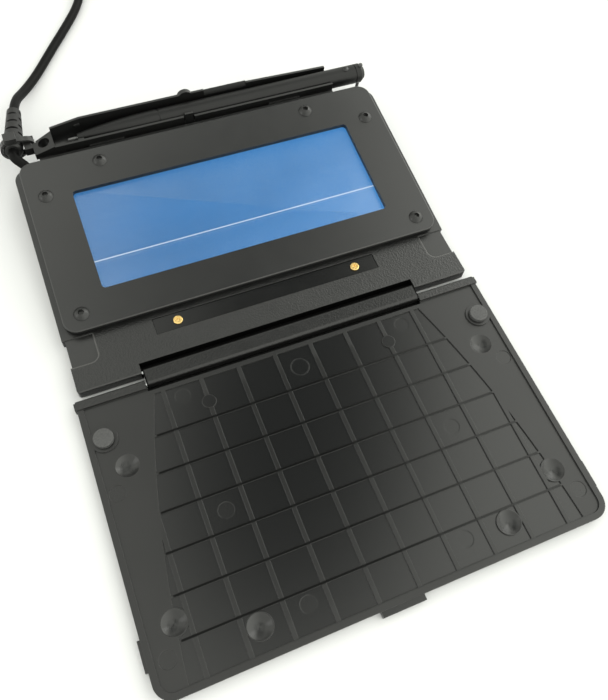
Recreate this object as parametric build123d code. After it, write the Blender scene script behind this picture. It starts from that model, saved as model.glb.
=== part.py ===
from build123d import *
import math
import os

os.makedirs("parts", exist_ok=True)

# Frame: millimetres, +X to the right, +Y away from the writer, +Z up.
# The origin is on the desk, under the middle of the base.

# Shared sizes
overrun = 20.0              # how far every cutting tool runs past what it cuts
running_clear = 0.05        # radial play of pins, screws and sliding fits
seat_clear = 0.15           # play round a piece that drops into a pocket
desk_clear = 0.05           # how far the soft cords stay above the desk

# Base moulding: flat hinge block in front, sloping housing behind
housing_half_width = 76.0
side_step = 0.5
block_half_width = housing_half_width - side_step
smooth_half_width = block_half_width - side_step
base_near_y = -49.2
smooth_near_y = -39.2
base_rear_y = 46.6
ledge_rear_y = 50.2         # the back steps out to meet the pen tray
ledge_left_inset = 11.0
ledge_right_inset = 16.0
ledge_left_x = ledge_left_inset - housing_half_width
ledge_right_x = housing_half_width - ledge_right_inset
base_bottom_z = 1.0
block_top_z = 5.0
block_corner_radius = 1.0
rear_corner_radius = 5.0
block_edge_radius = 0.7
pad_inset = 10.7            # width of each smooth corner pad
pad_half_gap = housing_half_width - pad_inset
pad_drop = 0.4
pad_corner_radius = 3.0

# Hinge recess in the block
recess_side = 22.3          # block left at each side of the recess
recess_half_width = block_half_width - recess_side
recess_far_y = -45.2

# Sloping deck: the plane of the metal plate's top
deck_slope_deg = 6.03
deck_height = 10.92         # above the desk at y = 0
plate_near_v = -27.85       # along the slope, from the deck's own origin
plate_far_v = 46.96
plate_side_inset = 2.3
plate_half_width = housing_half_width - plate_side_inset
plate_corner_radius = 5.0
plate_thickness = 1.5
plate_bevel = 0.35
window_side = 16.7           # plate left at each side of the window
window_half_width = plate_half_width - window_side
window_near_v = -13.88
window_far_v = 29.46
window_corner_radius = 1.5
frame_thickness = 1.5
frame_inset = 0.6           # the screen frame stands back under the plate
skin_thickness = 2.3        # roof of the housing, under the screen frame

# Screen stack, from the top down
gasket_thickness = 0.3
glass_margin = 3.5          # glass beyond the window on every side
glass_thickness = 1.1
lcd_margin = 2.6
lcd_thickness = 1.6
backlight_thickness = 0.8
sensor_margin = 6.0
sensor_thickness = 0.8

# Button-head screws of the plate, three on each side
plate_screw_inset = 7.1
plate_screw_far_inset = 30.4
plate_screw_near_uv = (plate_half_width - plate_screw_inset, -21.4)
plate_screw_side_uv = (plate_half_width - plate_screw_inset, 30.2)
plate_screw_far_uv = (plate_half_width - plate_screw_far_inset, 40.5)
button_head_radius = 2.85
button_head_height = 1.65
plate_screw_radius = 1.5
plate_screw_length = 6.0
hex_socket_flats = 2.0
hex_socket_depth = 1.0
screw_boss_radius = 3.2
screw_boss_depth = 2.2      # boss below the housing's roof

# Inset strip between the block and the plate
strip_half_width = 44.0
strip_near_y = -36.2
strip_far_y = -29.4
strip_thickness = 1.2
strip_drop = 0.25
strip_screw_inset = 8.8
strip_screw_x = strip_half_width - strip_screw_inset
strip_screw_head_radius = 1.75
strip_screw_head_height = 0.6
strip_screw_radius = 1.0
strip_screw_length = 3.4
cross_slot_width = 0.55
cross_slot_length = 1.9
cross_slot_depth = 0.4

# Inside of the housing, its floor and the electronics
side_wall = 3.6
cavity_half_width = housing_half_width - side_wall
cavity_near_y = -19.0
cavity_far_y = 44.5
floor_thickness = 1.2
floor_screw_inset = 4.8
floor_screw_x = cavity_half_width - floor_screw_inset
floor_screw_near_y = -11.0
floor_screw_far_y = 16.0
floor_screw_head_radius = 1.8
floor_screw_head_height = 0.8
floor_screw_radius = 1.0
floor_screw_length = 3.6
floor_boss_radius = 2.6
foot_radius = 5.0
foot_thickness = 1.3
foot_recess = 0.3
foot_inset = 16.0
foot_x = housing_half_width - foot_inset
foot_near_y = -42.0
foot_far_y = 36.0
board_half_width = 38.0
board_near_y = 20.0
board_far_y = 42.0
board_thickness = 1.6
board_standoff = 1.0
standoff_radius = 2.2
board_screw_inset = 3.0
board_screw_radius = 0.8
board_screw_head_radius = 1.5
board_screw_head_height = 0.5
chip_height = 0.9
chip_sizes = ((-14.0, 29.0, 9.0, 9.0), (6.0, 31.0, 6.0, 5.0), (20.0, 28.0, 4.0, 6.0), (-30.0, 34.0, 5.0, 4.0))
flex_width = 16.0
flex_thickness = 0.3
flex_x = 10.0
header_width = 12.0
header_length = 3.5
header_height = 1.1
header_x = -24.0
header_y = 38.0

# Hinge link between the base and the cover, with a pin at each side
hinge_axis_z = 2.9
base_axis_y = -48.05
cover_axis_y = -52.8
link_end_gap = 0.5
link_half_width = recess_half_width - link_end_gap
link_far_y = -47.4
link_near_y = -54.0
link_top_z = 5.3
link_closed_deg = 97.7      # the link stands upright when the cover is shut
link_bottom_z = 0.9
link_top_radius = 1.3
link_bottom_radius = 1.6
pin_radius = 0.6
pin_inside = 7.0            # length of the pin inside the link
pin_outside = 6.0           # length of the pin inside the block or the cover

# Folding cover, lying open on the desk
cover_overhang = 1.3
cover_half_width = housing_half_width + cover_overhang
cover_hinge_y = -51.3
cover_user_y = -150.5
cover_corner_radius = 6.0
cover_hinge_corner_radius = 0.8
cover_skin = 3.0
rim_top_z = 3.55
rim_thickness = 2.1
bar_top_z = 4.0             # raised bar on each side of the link
bar_near_y = -54.7
bar_overhang = 0.6          # the bar's ends stand out past the cover's sides
bar_edge_radius = 0.7
notch_near_y = -55.5        # the link's notch in the cover
notch_end_gap = 0.4
notch_half_width = link_half_width + notch_end_gap
web_thickness = 0.35        # thin floor of the notch, under the link
web_far_y = -53.0
cover_edge_radius = 0.75
side_tab_reach = 1.0
side_tab_x = cover_half_width + side_tab_reach
side_tab_near_y = -140.7
side_tab_far_y = -131.4
tab_height = 2.2
front_tab_half_width = 7.4
front_tab_y = -152.4
bumper_inset = 5.9
bumper_x = cover_half_width - bumper_inset
bumper_y = -67.5
bumper_radius = 3.4
bumper_height = 1.45
bumper_boss_radius = 4.65
bumper_boss_height = 0.55   # above the cover's floor
bumper_crown = 0.3

# Waffle pockets of the cover
pocket_depth = 0.5
rib_pitch_x = 13.8
rib_pitch_y = 12.787
rib_width_y = 1.5           # ribs that run away from the writer
rib_width_x = 0.7           # ribs that run from side to side
rib_columns = 8
rib_rows = 6
field_far_y = -57.1
first_row_y = -72.187
field_near_y = -148.1
field_far_inset = 26.0
field_middle_inset = 14.7
field_near_inset = 9.7
field_far_half = cover_half_width - field_far_inset
field_middle_half = cover_half_width - field_middle_inset
field_middle_y = -104.2
field_near_half = cover_half_width - field_near_inset
round_pad_x = 34.5
round_pad_y = -66.2
round_pad_radius = 2.5
dimple_radius = 3.95
dimple_depth = 1.3
dimple_ring = 0.35
mark_radius = 2.75
mark_depth_share = 0.4       # of the pocket's depth
mark_insets = (
    (5.3, -86.8), (6.1, -139.5), (34.9, -61.2), (36.0, -104.1), (49.95, -140.3),
)

# Pen tray: a half pipe behind the housing
tray_y = 56.2
tray_z = 13.6
tray_outer_radius = 5.4
tray_wall = 1.0
near_wall_top_z = 15.8
near_wall_left_z = 16.4
far_wall_top_z = 18.7
far_wall_right_z = 17.9
far_wall_end_z = 16.6
partition_top_z = 16.8
tray_right_x = 60.4
tray_taper_x = -46.0
tray_partition_x = -57.9
tray_end_x = -66.0
tray_partition_far_y = 59.5
tray_end_far_y = 57.3
tray_hole_x = -61.6
tray_hole_radius = 2.3
ear_end_x = -69.2
ear_near_y = 55.0
ear_far_y = 61.6
ear_bottom_z = 11.3
ear_top_z = 14.6
slot_left_x = -66.6
slot_right_x = -64.5
slot_near_y = 57.2
slot_far_y = 60.9
finger_left_x = -5.3
finger_right_x = -1.9
finger_slit = 0.5
finger_depth = 2.4           # the slits beside the finger, below the near wall's top
finger_top_z = 17.7
flap_left_x = 5.8
flap_right_x = 24.2
flap_bottom_z = 16.1
flap_top_z = 18.3
flap_edge = 0.25
dome_x = -2.2
dome_radius = 3.4
dome_rise = 1.2              # above the far wall's top
dome_height = 1.2
rest_x = -47.5
rest_length = 2.4
rest_depth = 0.7
rest_height = 1.2
tray_tab_x = 38.0
tray_tab_half_width = 7.0
tray_tab_thickness = 2.0
tray_tab_bottom_z = 3.2
tray_screw_z = 6.4
tray_screw_head_radius = 2.2
tray_screw_head_height = 1.4
tray_screw_radius = 1.1
tray_screw_length = 5.0

# Pen, lying in the tray along X
pen_radius = 3.95
pen_lift = 0.3              # running gap under the pen in the tray
nose_tip_x = -48.5
nose_tip_radius = 1.6
nose_swell_x = -34.0
nose_swell_radius = 3.28
seam_x = -15.5
seam_width = 0.4
seam_depth = 0.25
barrel_end_x = 72.6
cap_neck_x = 73.0
cap_round_x = 75.2
cap_end_x = 77.0
cap_end_radius = 2.6
pen_wall = 1.0
nib_tip_x = -52.4
nib_radius = 0.5
nib_collar_radius = 0.9
nib_collar_left_x = -46.4
nib_collar_right_x = -45.2
nib_end_x = -30.6
nib_travel = 0.4
cushion_left_x = -44.7
cushion_right_x = -40.0
nose_chamber_x = -32.0
ferrite_left_x = -30.0
ferrite_right_x = -20.0
ferrite_radius = 1.5
pen_coil_radius = 1.85
pen_board_left_x = -12.0
pen_board_right_x = 26.0
pen_board_thickness = 0.8
pen_board_width = 4.6
tail_screw_x = 68.3
tail_screw_radius = 1.5
tail_screw_height = 0.6
tail_screw_shank_radius = 0.6
eyelet_x = 75.6
eyelet_radius = 0.85

# Pen tether: a thin string, put away in a small coil behind the housing
tether_diameter = 1.4
tether_hole_depth = 2.0
tether_knot_radius = 1.0
tether_coil_centre = (43.0, 63.6)
tether_coil_radius = 8.9
tether_gap = 0.6
tether_half_turns = 4
tether_start = (30.0, 48.2, 5.0)
tether_route = (
    tether_start, (30.0, 52.4, 5.0), (31.4, 56.4, 2.4), (34.1, 60.0, 0.75), (34.1, 63.6, 0.75),
)
tether_rise = (
    (57.8, 59.8, 0.75), (60.6, 56.2, 0.75), (65.2, 54.2, 0.75), (70.4, 53.8, 0.9),
    (73.9, 55.0, 2.6), (75.6, 56.2, 6.2),
)

# USB lead, strain relief, cable tie and cable
cable_diameter = 3.8
boot_start = (-73.7, 57.4, 12.5)
boot_end = (-69.8, 82.2, 9.0)
lead_route = ((-70.5, 46.6, 10.4), (-70.5, 50.2, 10.4), (-74.22, 54.07, 12.97), boot_start)
boot_root_radius = 3.7
boot_tip_radius = 2.8
boot_end_round = 0.8
boot_core_wall = 0.5
boot_slot_width = 1.2
boot_slot_shares = (0.34, 0.44, 0.54, 0.64, 0.74, 0.84, 0.92)
boot_collar_share = 0.26
tie_y = 59.5
tie_width = 2.4
tie_thickness = 0.9
tie_clear = 0.35
tie_head_height = 2.4
tie_head_width = 4.6
tie_head_length = 4.0
cable_route = (
    boot_end, (-68.57, 90.03, 7.89), (-63.6, 99.4, 3.8), (-56.6, 109.9, 1.95), (-46.9, 124.3, 1.95),
    (-37.3, 137.7, 1.95), (-28.0, 152.0, 1.95), (-22.9, 167.6, 1.95), (-22.4, 183.0, 1.95),
    (-22.4, 196.0, 1.95),
)
coil_centre = (11.0, 196.0)
coil_radius = 33.4
coil_gap = 0.75
coil_half_turns = 11
plug_grip_length = 26.0
plug_grip_width = 15.4
plug_grip_height = 8.0
plug_grip_radius = 2.4
plug_neck_length = 9.0
plug_neck_radius = 2.9
plug_shell_length = 12.0
plug_shell_inside = 4.0
plug_shell_width = 12.0
plug_shell_height = 4.5
plug_shell_wall = 0.35
plug_tongue_height = 1.8
plug_contact_width = 1.2
plug_window = 2.2

deck = Plane(
    origin=(0, 0, deck_height),
    x_dir=(1, 0, 0),
    z_dir=(0, -math.sin(math.radians(deck_slope_deg)), math.cos(math.radians(deck_slope_deg))),
)
bend_share = 0.45           # a bend's share of the shorter of its two runs
coil_samples = 24           # places on each half turn where the coil's gap is measured
frame_top = -plate_thickness
frame_bottom = frame_top - frame_thickness
skin_bottom = frame_bottom - skin_thickness
housing_near_y = plate_near_v   # the wide part starts below the plate's near edge
floor_top_z = base_bottom_z + floor_thickness
pen_axis_z = tray_z - (tray_outer_radius - tray_wall) + pen_lift + pen_radius
written = []


def save(name, shape):
    """Write one node as a STEP file, checked to hold real solids."""
    if isinstance(shape, (list, ShapeList)):
        shape = Compound(children=[solid for piece in shape for solid in piece.solids()])
    shape.label = name
    export_step(shape, f"parts/{name}.step")
    written.append(name)


def block(x0, x1, y0, y1, z0, z1):
    """A box between two corners."""
    middle = Pos((x0 + x1) / 2, (y0 + y1) / 2, (z0 + z1) / 2)
    return middle * Box(x1 - x0, y1 - y0, z1 - z0)


def disc(x, y, z0, z1, radius):
    """A vertical cylinder from z0 up to z1."""
    return Pos(x, y, (z0 + z1) / 2) * Cylinder(radius, z1 - z0)


def edge_round(y, z, radius, inward):
    """Cutter that rounds an upper edge along X; inward is the side of the material along Y."""
    y_mid = y + inward * radius
    y0, y1 = sorted((y - inward * radius, y_mid))
    square = block(-side_tab_x, side_tab_x, y0, y1, z - radius, z + radius)
    return square - Pos(0, y_mid, z - radius) * Rot(0, 90, 0) * Cylinder(radius, 2 * side_tab_x)


def rounded_slab(half_width, near, far, low, high, radius):
    """A slab with rounded corners, centred on x = 0."""
    outline = RectangleRounded(2 * half_width, far - near, radius)
    return Pos(0, (near + far) / 2, low) * extrude(outline, high - low)


def deck_height_at(y, offset):
    """Height of the deck plane, shifted along its normal, above the desk at y."""
    slope = math.radians(deck_slope_deg)
    return deck_height + y * math.tan(slope) + offset / math.cos(slope)


def mirrored(places):
    """Each (x, y) place with its twin on the other side of the middle."""
    return [(side * x, y) for x, y in places for side in (-1, 1)]


plate_screw_places = mirrored((plate_screw_near_uv, plate_screw_side_uv, plate_screw_far_uv))


def base_outline():
    """Plan of the base: block, smooth pads, housing and the ledge behind it."""
    corners = [
        (-block_half_width, base_near_y), (block_half_width, base_near_y),
        (block_half_width, smooth_near_y), (smooth_half_width, smooth_near_y),
        (smooth_half_width, housing_near_y), (housing_half_width, housing_near_y),
        (housing_half_width, base_rear_y), (ledge_right_x, base_rear_y),
        (ledge_right_x, ledge_rear_y), (ledge_left_x, ledge_rear_y),
        (ledge_left_x, base_rear_y), (-housing_half_width, base_rear_y),
        (-housing_half_width, housing_near_y), (-smooth_half_width, housing_near_y),
        (-smooth_half_width, smooth_near_y), (-block_half_width, smooth_near_y),
    ]
    outline = make_face(Polyline(*corners, close=True))
    near = outline.vertices().filter_by(lambda v: abs(v.Y - base_near_y) < seat_clear)
    outline = fillet(near, block_corner_radius)
    rear = [
        v for v in outline.vertices()
        if abs(v.Y - base_rear_y) < seat_clear and abs(v.X) > housing_half_width - seat_clear
    ]
    return fillet(rear, rear_corner_radius)


def base_profile():
    """Side view of the base, from the flat block up the slope to the back."""
    rise = math.tan(math.radians(deck_slope_deg))
    slope_start_y = (block_top_z - deck_height_at(0, frame_bottom)) / rise
    points = [
        (base_near_y, base_bottom_z), (base_near_y, block_top_z), (slope_start_y, block_top_z),
        (ledge_rear_y, deck_height_at(ledge_rear_y, frame_bottom)), (ledge_rear_y, base_bottom_z),
    ]
    return Plane.YZ * make_face(Polyline(*points, close=True))


def make_base():
    """Base moulding: wedge, hinge recess, corner pads, roof opening, hollow and bosses."""
    wedge = extrude(base_profile(), housing_half_width, both=True)
    plan = extrude(base_outline(), deck_height + overrun)
    body = wedge & plan
    body -= edge_round(base_near_y, block_top_z, block_edge_radius, 1)
    body -= block(-recess_half_width, recess_half_width, base_near_y - overrun, recess_far_y,
                  -overrun, overrun)
    for side in (-1, 1):
        pad_width = housing_half_width - pad_half_gap + overrun
        pad_length = housing_near_y - smooth_near_y + overrun
        pad = RectangleRounded(pad_width, pad_length, pad_corner_radius)
        middle_x = side * (pad_half_gap + pad_width / 2)
        middle_y = smooth_near_y + pad_length / 2
        pocket = Pos(middle_x, middle_y, block_top_z - pad_drop) * extrude(pad, overrun)
        pocket &= block(-overrun - housing_half_width, overrun + housing_half_width,
                        smooth_near_y - overrun, housing_near_y, -overrun, overrun)
        body -= pocket
    strip_bottom = block_top_z - strip_drop - strip_thickness
    body -= block(-strip_half_width, strip_half_width, strip_near_y, strip_far_y, strip_bottom, overrun)
    for side in (-1, 1):
        strip_y = (strip_near_y + strip_far_y) / 2
        body -= disc(side * strip_screw_x, strip_y, strip_bottom - strip_screw_length, overrun,
                     strip_screw_radius)
    body -= make_cavity()
    body += make_bosses()
    body -= base_holes()
    return body


def make_cavity():
    """Hollow of the housing, open below, with the roof opening for the screen."""
    roof = deck * (Pos(0, 0, skin_bottom - overrun) * Box(
        4 * cavity_half_width, 4 * cavity_half_width, 2 * overrun))
    hollow = block(-cavity_half_width, cavity_half_width, cavity_near_y, cavity_far_y, -overrun, overrun)
    opening = rounded_slab(window_half_width + lcd_margin + seat_clear,
                           window_near_v - lcd_margin - seat_clear,
                           window_far_v + lcd_margin + seat_clear,
                           skin_bottom - overrun, overrun, window_corner_radius)
    opening = deck * opening
    above_floor = block(-overrun - cavity_half_width, overrun + cavity_half_width,
                        cavity_near_y, cavity_far_y, -overrun, overrun)
    return (hollow & roof) + (opening & above_floor)


def make_bosses():
    """Round posts inside the housing for the plate's and the floor's screws."""
    posts = []
    for u, v in plate_screw_places:
        if v > cavity_near_y:
            post = Pos(u, v, skin_bottom - screw_boss_depth / 2) * Cylinder(
                screw_boss_radius, screw_boss_depth)
            posts.append(deck * post)
    for x, y in floor_screw_places():
        top = deck_height_at(y, skin_bottom)
        posts.append(disc(x, y, floor_top_z, top + skin_thickness / 2, floor_boss_radius))
    return posts


def floor_screw_places():
    return mirrored(((floor_screw_x, floor_screw_near_y), (floor_screw_x, floor_screw_far_y)))


def base_holes():
    """Screw holes, pin bores, feet recesses, cable and tether holes."""
    holes = []
    for u, v in plate_screw_places:
        depth = plate_screw_length + running_clear
        holes.append(deck * (Pos(u, v, -depth / 2) * Cylinder(plate_screw_radius, depth)))
    for x, y in floor_screw_places():
        holes.append(disc(x, y, 0, base_bottom_z + floor_screw_length, floor_screw_radius))
    for side in (-1, 1):
        middle = side * (recess_half_width + pin_outside / 2)
        holes.append(Pos(middle, base_axis_y, hinge_axis_z) * Rot(0, 90, 0) * Cylinder(
            pin_radius, pin_outside))
        holes.append(disc(side * foot_x, foot_near_y, 0, base_bottom_z + foot_recess,
                          foot_radius + seat_clear))
        holes.append(Pos(side * tray_tab_x, ledge_rear_y, tray_screw_z) * Rot(90, 0, 0) * Cylinder(
            tray_screw_radius, 2 * (tray_screw_length - tray_tab_thickness)))
    hole_x, hole_y, hole_z = tether_start
    holes.append(Pos(hole_x, ledge_rear_y, hole_z) * Rot(90, 0, 0) * Cylinder(
        tether_diameter / 2 + running_clear, 2 * tether_hole_depth))
    return holes


def make_floor():
    """Bottom cover of the housing, with standoffs for the controller board."""
    plate = block(-cavity_half_width + seat_clear, cavity_half_width - seat_clear,
                  cavity_near_y + seat_clear, cavity_far_y - seat_clear, base_bottom_z, floor_top_z)
    for x, y in board_screw_places():
        plate += disc(x, y, floor_top_z, floor_top_z + board_standoff, standoff_radius)
    for x, y in board_screw_places():
        plate -= disc(x, y, base_bottom_z + floor_thickness / 2, floor_top_z + overrun, board_screw_radius)
    for x, y in floor_screw_places():
        plate -= disc(x, y, 0, floor_top_z + overrun, floor_screw_radius + running_clear)
        cone = Cone(floor_screw_head_radius, floor_screw_radius, floor_screw_head_height)
        plate -= Pos(x, y, base_bottom_z + floor_screw_head_height / 2) * cone
    for side in (-1, 1):
        plate -= disc(side * foot_x, foot_far_y, 0, base_bottom_z + foot_recess, foot_radius + seat_clear)
    return plate


def board_screw_places():
    near = board_near_y + board_screw_inset
    far = board_far_y - board_screw_inset
    across = board_half_width - board_screw_inset
    return mirrored(((across, near), (across, far)))


def make_floor_screws():
    """Countersunk screws, flush with the underside of the bottom cover."""
    screws = []
    for x, y in floor_screw_places():
        head = Pos(x, y, base_bottom_z + floor_screw_head_height / 2) * Cone(
            floor_screw_head_radius, floor_screw_radius, floor_screw_head_height)
        shank = disc(x, y, base_bottom_z + floor_screw_head_height,
                     base_bottom_z + floor_screw_length, floor_screw_radius)
        slot = Pos(x, y, base_bottom_z)
        slots = Box(cross_slot_length, cross_slot_width, 2 * cross_slot_depth)
        slots += Box(cross_slot_width, cross_slot_length, 2 * cross_slot_depth)
        screws.append(head + shank - slot * slots)
    return screws


def make_feet():
    """Four rubber feet, let into the underside."""
    feet = []
    for x, y in mirrored(((foot_x, foot_near_y), (foot_x, foot_far_y))):
        foot = disc(x, y, 0, foot_thickness, foot_radius)
        bottom = foot.edges().sort_by(Axis.Z)[0]
        feet.append(fillet(bottom, foot_recess))
    return feet


def deck_slab(half_width, near, far, low, high, radius):
    """A rounded slab given in the sloping deck's own directions."""
    return deck * rounded_slab(half_width, near, far, low, high, radius)


def screw_bores(low, high, radius):
    return [deck * disc(u, v, low, high, radius) for u, v in plate_screw_places]


def make_plate():
    """Black metal plate with its rounded corners, bevel, window and six holes."""
    plate = rounded_slab(plate_half_width, plate_near_v, plate_far_v, -plate_thickness, 0,
                         plate_corner_radius)
    plate = chamfer(plate.faces().sort_by(Axis.Z)[-1].edges(), plate_bevel)
    plate -= rounded_slab(window_half_width, window_near_v, window_far_v, -overrun, overrun,
                          window_corner_radius)
    return deck * plate - screw_bores(-overrun, overrun, plate_screw_radius + running_clear)


def make_screen_frame():
    """Frame under the plate that holds the glass."""
    inset = frame_inset
    frame = deck_slab(plate_half_width - inset, plate_near_v + inset, plate_far_v - inset,
                      frame_bottom, frame_top, plate_corner_radius)
    margin = glass_margin + seat_clear
    frame -= deck_slab(window_half_width + margin, window_near_v - margin, window_far_v + margin,
                       -overrun, overrun, window_corner_radius)
    return frame - screw_bores(-overrun, overrun, plate_screw_radius + running_clear)


def window_slab(margin, low, high):
    """A slab under the window, larger than it by a margin on every side."""
    return deck_slab(window_half_width + margin, window_near_v - margin, window_far_v + margin,
                     low, high, window_corner_radius)


def save_screen_stack():
    """Gasket, glass, panel, backlight and sensor board, each on the one below."""
    glass_top = frame_top - gasket_thickness
    glass_bottom = glass_top - glass_thickness
    lcd_bottom = glass_bottom - lcd_thickness
    light_bottom = lcd_bottom - backlight_thickness
    gasket = window_slab(glass_margin, glass_top, frame_top) - window_slab(0, -overrun, overrun)
    save("window_gasket", gasket)
    save("window_glass", window_slab(glass_margin, glass_bottom, glass_top))
    save("lcd_panel", window_slab(lcd_margin, lcd_bottom, glass_bottom))
    save("backlight_panel", window_slab(lcd_margin, light_bottom, lcd_bottom))
    return light_bottom


def make_plate_screws():
    """Six button-head screws with hexagon sockets."""
    dome_radius = (button_head_radius ** 2 + button_head_height ** 2) / (2 * button_head_height)
    screws = []
    for u, v in plate_screw_places:
        dome = Pos(0, 0, button_head_height - dome_radius) * Sphere(dome_radius)
        head = dome & (Pos(0, 0, button_head_height / 2) * Cylinder(button_head_radius, button_head_height))
        shank = Pos(0, 0, -plate_screw_length / 2) * Cylinder(plate_screw_radius, plate_screw_length)
        socket = RegularPolygon(hex_socket_flats / 2, 6, major_radius=False)
        socket = Pos(0, 0, button_head_height - hex_socket_depth) * extrude(socket, overrun)
        screws.append(deck * (Pos(u, v, 0) * (head + shank - socket)))
    return screws


def make_strip():
    """Smooth strip let into the block, behind the hinge."""
    top = block_top_z - strip_drop
    strip = block(-strip_half_width + seat_clear, strip_half_width - seat_clear,
                  strip_near_y + seat_clear, strip_far_y - seat_clear, top - strip_thickness, top)
    for side in (-1, 1):
        y = (strip_near_y + strip_far_y) / 2
        strip -= disc(side * strip_screw_x, y, -overrun, overrun, strip_screw_radius + running_clear)
    return strip


def make_strip_screws():
    """Two brass pan-head screws with cross recesses."""
    top = block_top_z - strip_drop
    screws = []
    for side in (-1, 1):
        here = Pos(side * strip_screw_x, (strip_near_y + strip_far_y) / 2, top)
        head = Pos(0, 0, strip_screw_head_height / 2) * Cylinder(
            strip_screw_head_radius, strip_screw_head_height)
        head = fillet(head.edges().sort_by(Axis.Z)[-1], strip_screw_head_height / 2)
        shank = Pos(0, 0, -strip_screw_length / 2) * Cylinder(strip_screw_radius, strip_screw_length)
        cross = Box(cross_slot_length, cross_slot_width, 2 * cross_slot_depth)
        cross += Box(cross_slot_width, cross_slot_length, 2 * cross_slot_depth)
        screws.append(here * (head + shank - Pos(0, 0, strip_screw_head_height) * cross))
    return screws


def save_electronics(light_bottom):
    """Sensor board under the screen, controller board on its standoffs, and their parts."""
    sensor_bottom = skin_bottom - sensor_thickness
    sensor = window_slab(sensor_margin, sensor_bottom, min(skin_bottom, light_bottom))
    sensor &= block(-overrun - cavity_half_width, overrun + cavity_half_width,
                    cavity_near_y + seat_clear, cavity_far_y, -overrun, overrun)
    save("sensor_board", sensor)
    board_bottom = floor_top_z + board_standoff
    board_top = board_bottom + board_thickness
    board = block(-board_half_width, board_half_width, board_near_y, board_far_y, board_bottom, board_top)
    for x, y in board_screw_places():
        board -= disc(x, y, -overrun, overrun, board_screw_radius + running_clear)
    save("controller_board", board)
    chips = []
    for x, y, width, length in chip_sizes:
        chips.append(block(x - width / 2, x + width / 2, y - length / 2, y + length / 2,
                           board_top, board_top + chip_height))
    save("board_chips", chips)
    screws = []
    for x, y in board_screw_places():
        head = disc(x, y, board_top, board_top + board_screw_head_height, board_screw_head_radius)
        shank = disc(x, y, base_bottom_z + floor_thickness / 2, board_top, board_screw_radius)
        screws.append(head + shank)
    save("board_screws", screws)
    header = block(header_x - header_width / 2, header_x + header_width / 2,
                   header_y - header_length / 2, header_y + header_length / 2,
                   board_top, board_top + header_height)
    save("cable_header", header)
    flex_y = board_near_y + board_screw_inset
    flex = block(flex_x - flex_width / 2, flex_x + flex_width / 2, flex_y, flex_y + flex_thickness,
                 board_top, deck_height_at(flex_y, sensor_bottom))
    save("flex_cable", flex)


def hinge_pin(x0, x1, y):
    return Pos((x0 + x1) / 2, y, hinge_axis_z) * Rot(0, 90, 0) * Cylinder(pin_radius, abs(x1 - x0))


def pin_bores(y, radius):
    """Bores in the two ends of the link for one row of pins."""
    bores = []
    for side in (-1, 1):
        x0 = side * (link_half_width - pin_inside)
        x1 = side * (link_half_width + overrun)
        middle = Pos((x0 + x1) / 2, y, hinge_axis_z)
        bores.append(middle * Rot(0, 90, 0) * Cylinder(radius, abs(x1 - x0)))
    return bores


def make_link():
    """Hinge link: a flat bar with a rounded back and a bore row at each side."""
    profile = make_face(Polyline(
        (link_far_y, link_bottom_z), (link_far_y, link_top_z),
        (link_near_y, link_top_z), (link_near_y, link_bottom_z), close=True))
    top = profile.vertices().group_by(Axis.Y)[-1]
    profile = fillet(top, link_top_radius)
    bottom = profile.vertices().group_by(Axis.Y)[0]
    profile = fillet(bottom, link_bottom_radius)
    link = extrude(Plane.YZ * profile, link_half_width, both=True)
    link -= pin_bores(base_axis_y, pin_radius + running_clear)
    return link - pin_bores(cover_axis_y, pin_radius + running_clear)


def cover_outline(inset):
    """Plan of the cover, drawn in from its edge by an inset."""
    half = cover_half_width - inset
    outline = make_face(Polyline(
        (-half, cover_hinge_y), (half, cover_hinge_y),
        (half, cover_user_y + inset), (-half, cover_user_y + inset), close=True))
    outline = fillet(outline.vertices().group_by(Axis.Y)[0], cover_corner_radius - inset)
    return fillet(outline.vertices().group_by(Axis.Y)[-1], cover_hinge_corner_radius)


def pocket_field():
    """Outline of the waffle field: bowed sides, straight ends."""
    right = ThreePointArc((field_far_half, field_far_y), (field_middle_half, field_middle_y),
                          (field_near_half, field_near_y))
    left = ThreePointArc((-field_near_half, field_near_y), (-field_middle_half, field_middle_y),
                         (-field_far_half, field_far_y))
    near = Line((field_near_half, field_near_y), (-field_near_half, field_near_y))
    far = Line((-field_far_half, field_far_y), (field_far_half, field_far_y))
    return make_face([right, near, left, far])


def closed_axis_v():
    """How far along the slope the cover's hinge axis stands once the cover is shut."""
    turn = math.radians(link_closed_deg)
    slope = math.radians(deck_slope_deg)
    reach = base_axis_y - cover_axis_y
    axis_y = base_axis_y - reach * math.cos(turn)
    axis_z = hinge_axis_z + reach * math.sin(turn)
    return axis_y * math.cos(slope) + (axis_z - deck_height) * math.sin(slope)


def dimple_places():
    """Where the plate's screw heads meet the cover's floor when it is shut."""
    return [(u, cover_axis_y - (v - closed_axis_v())) for u, v in plate_screw_places]


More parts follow.
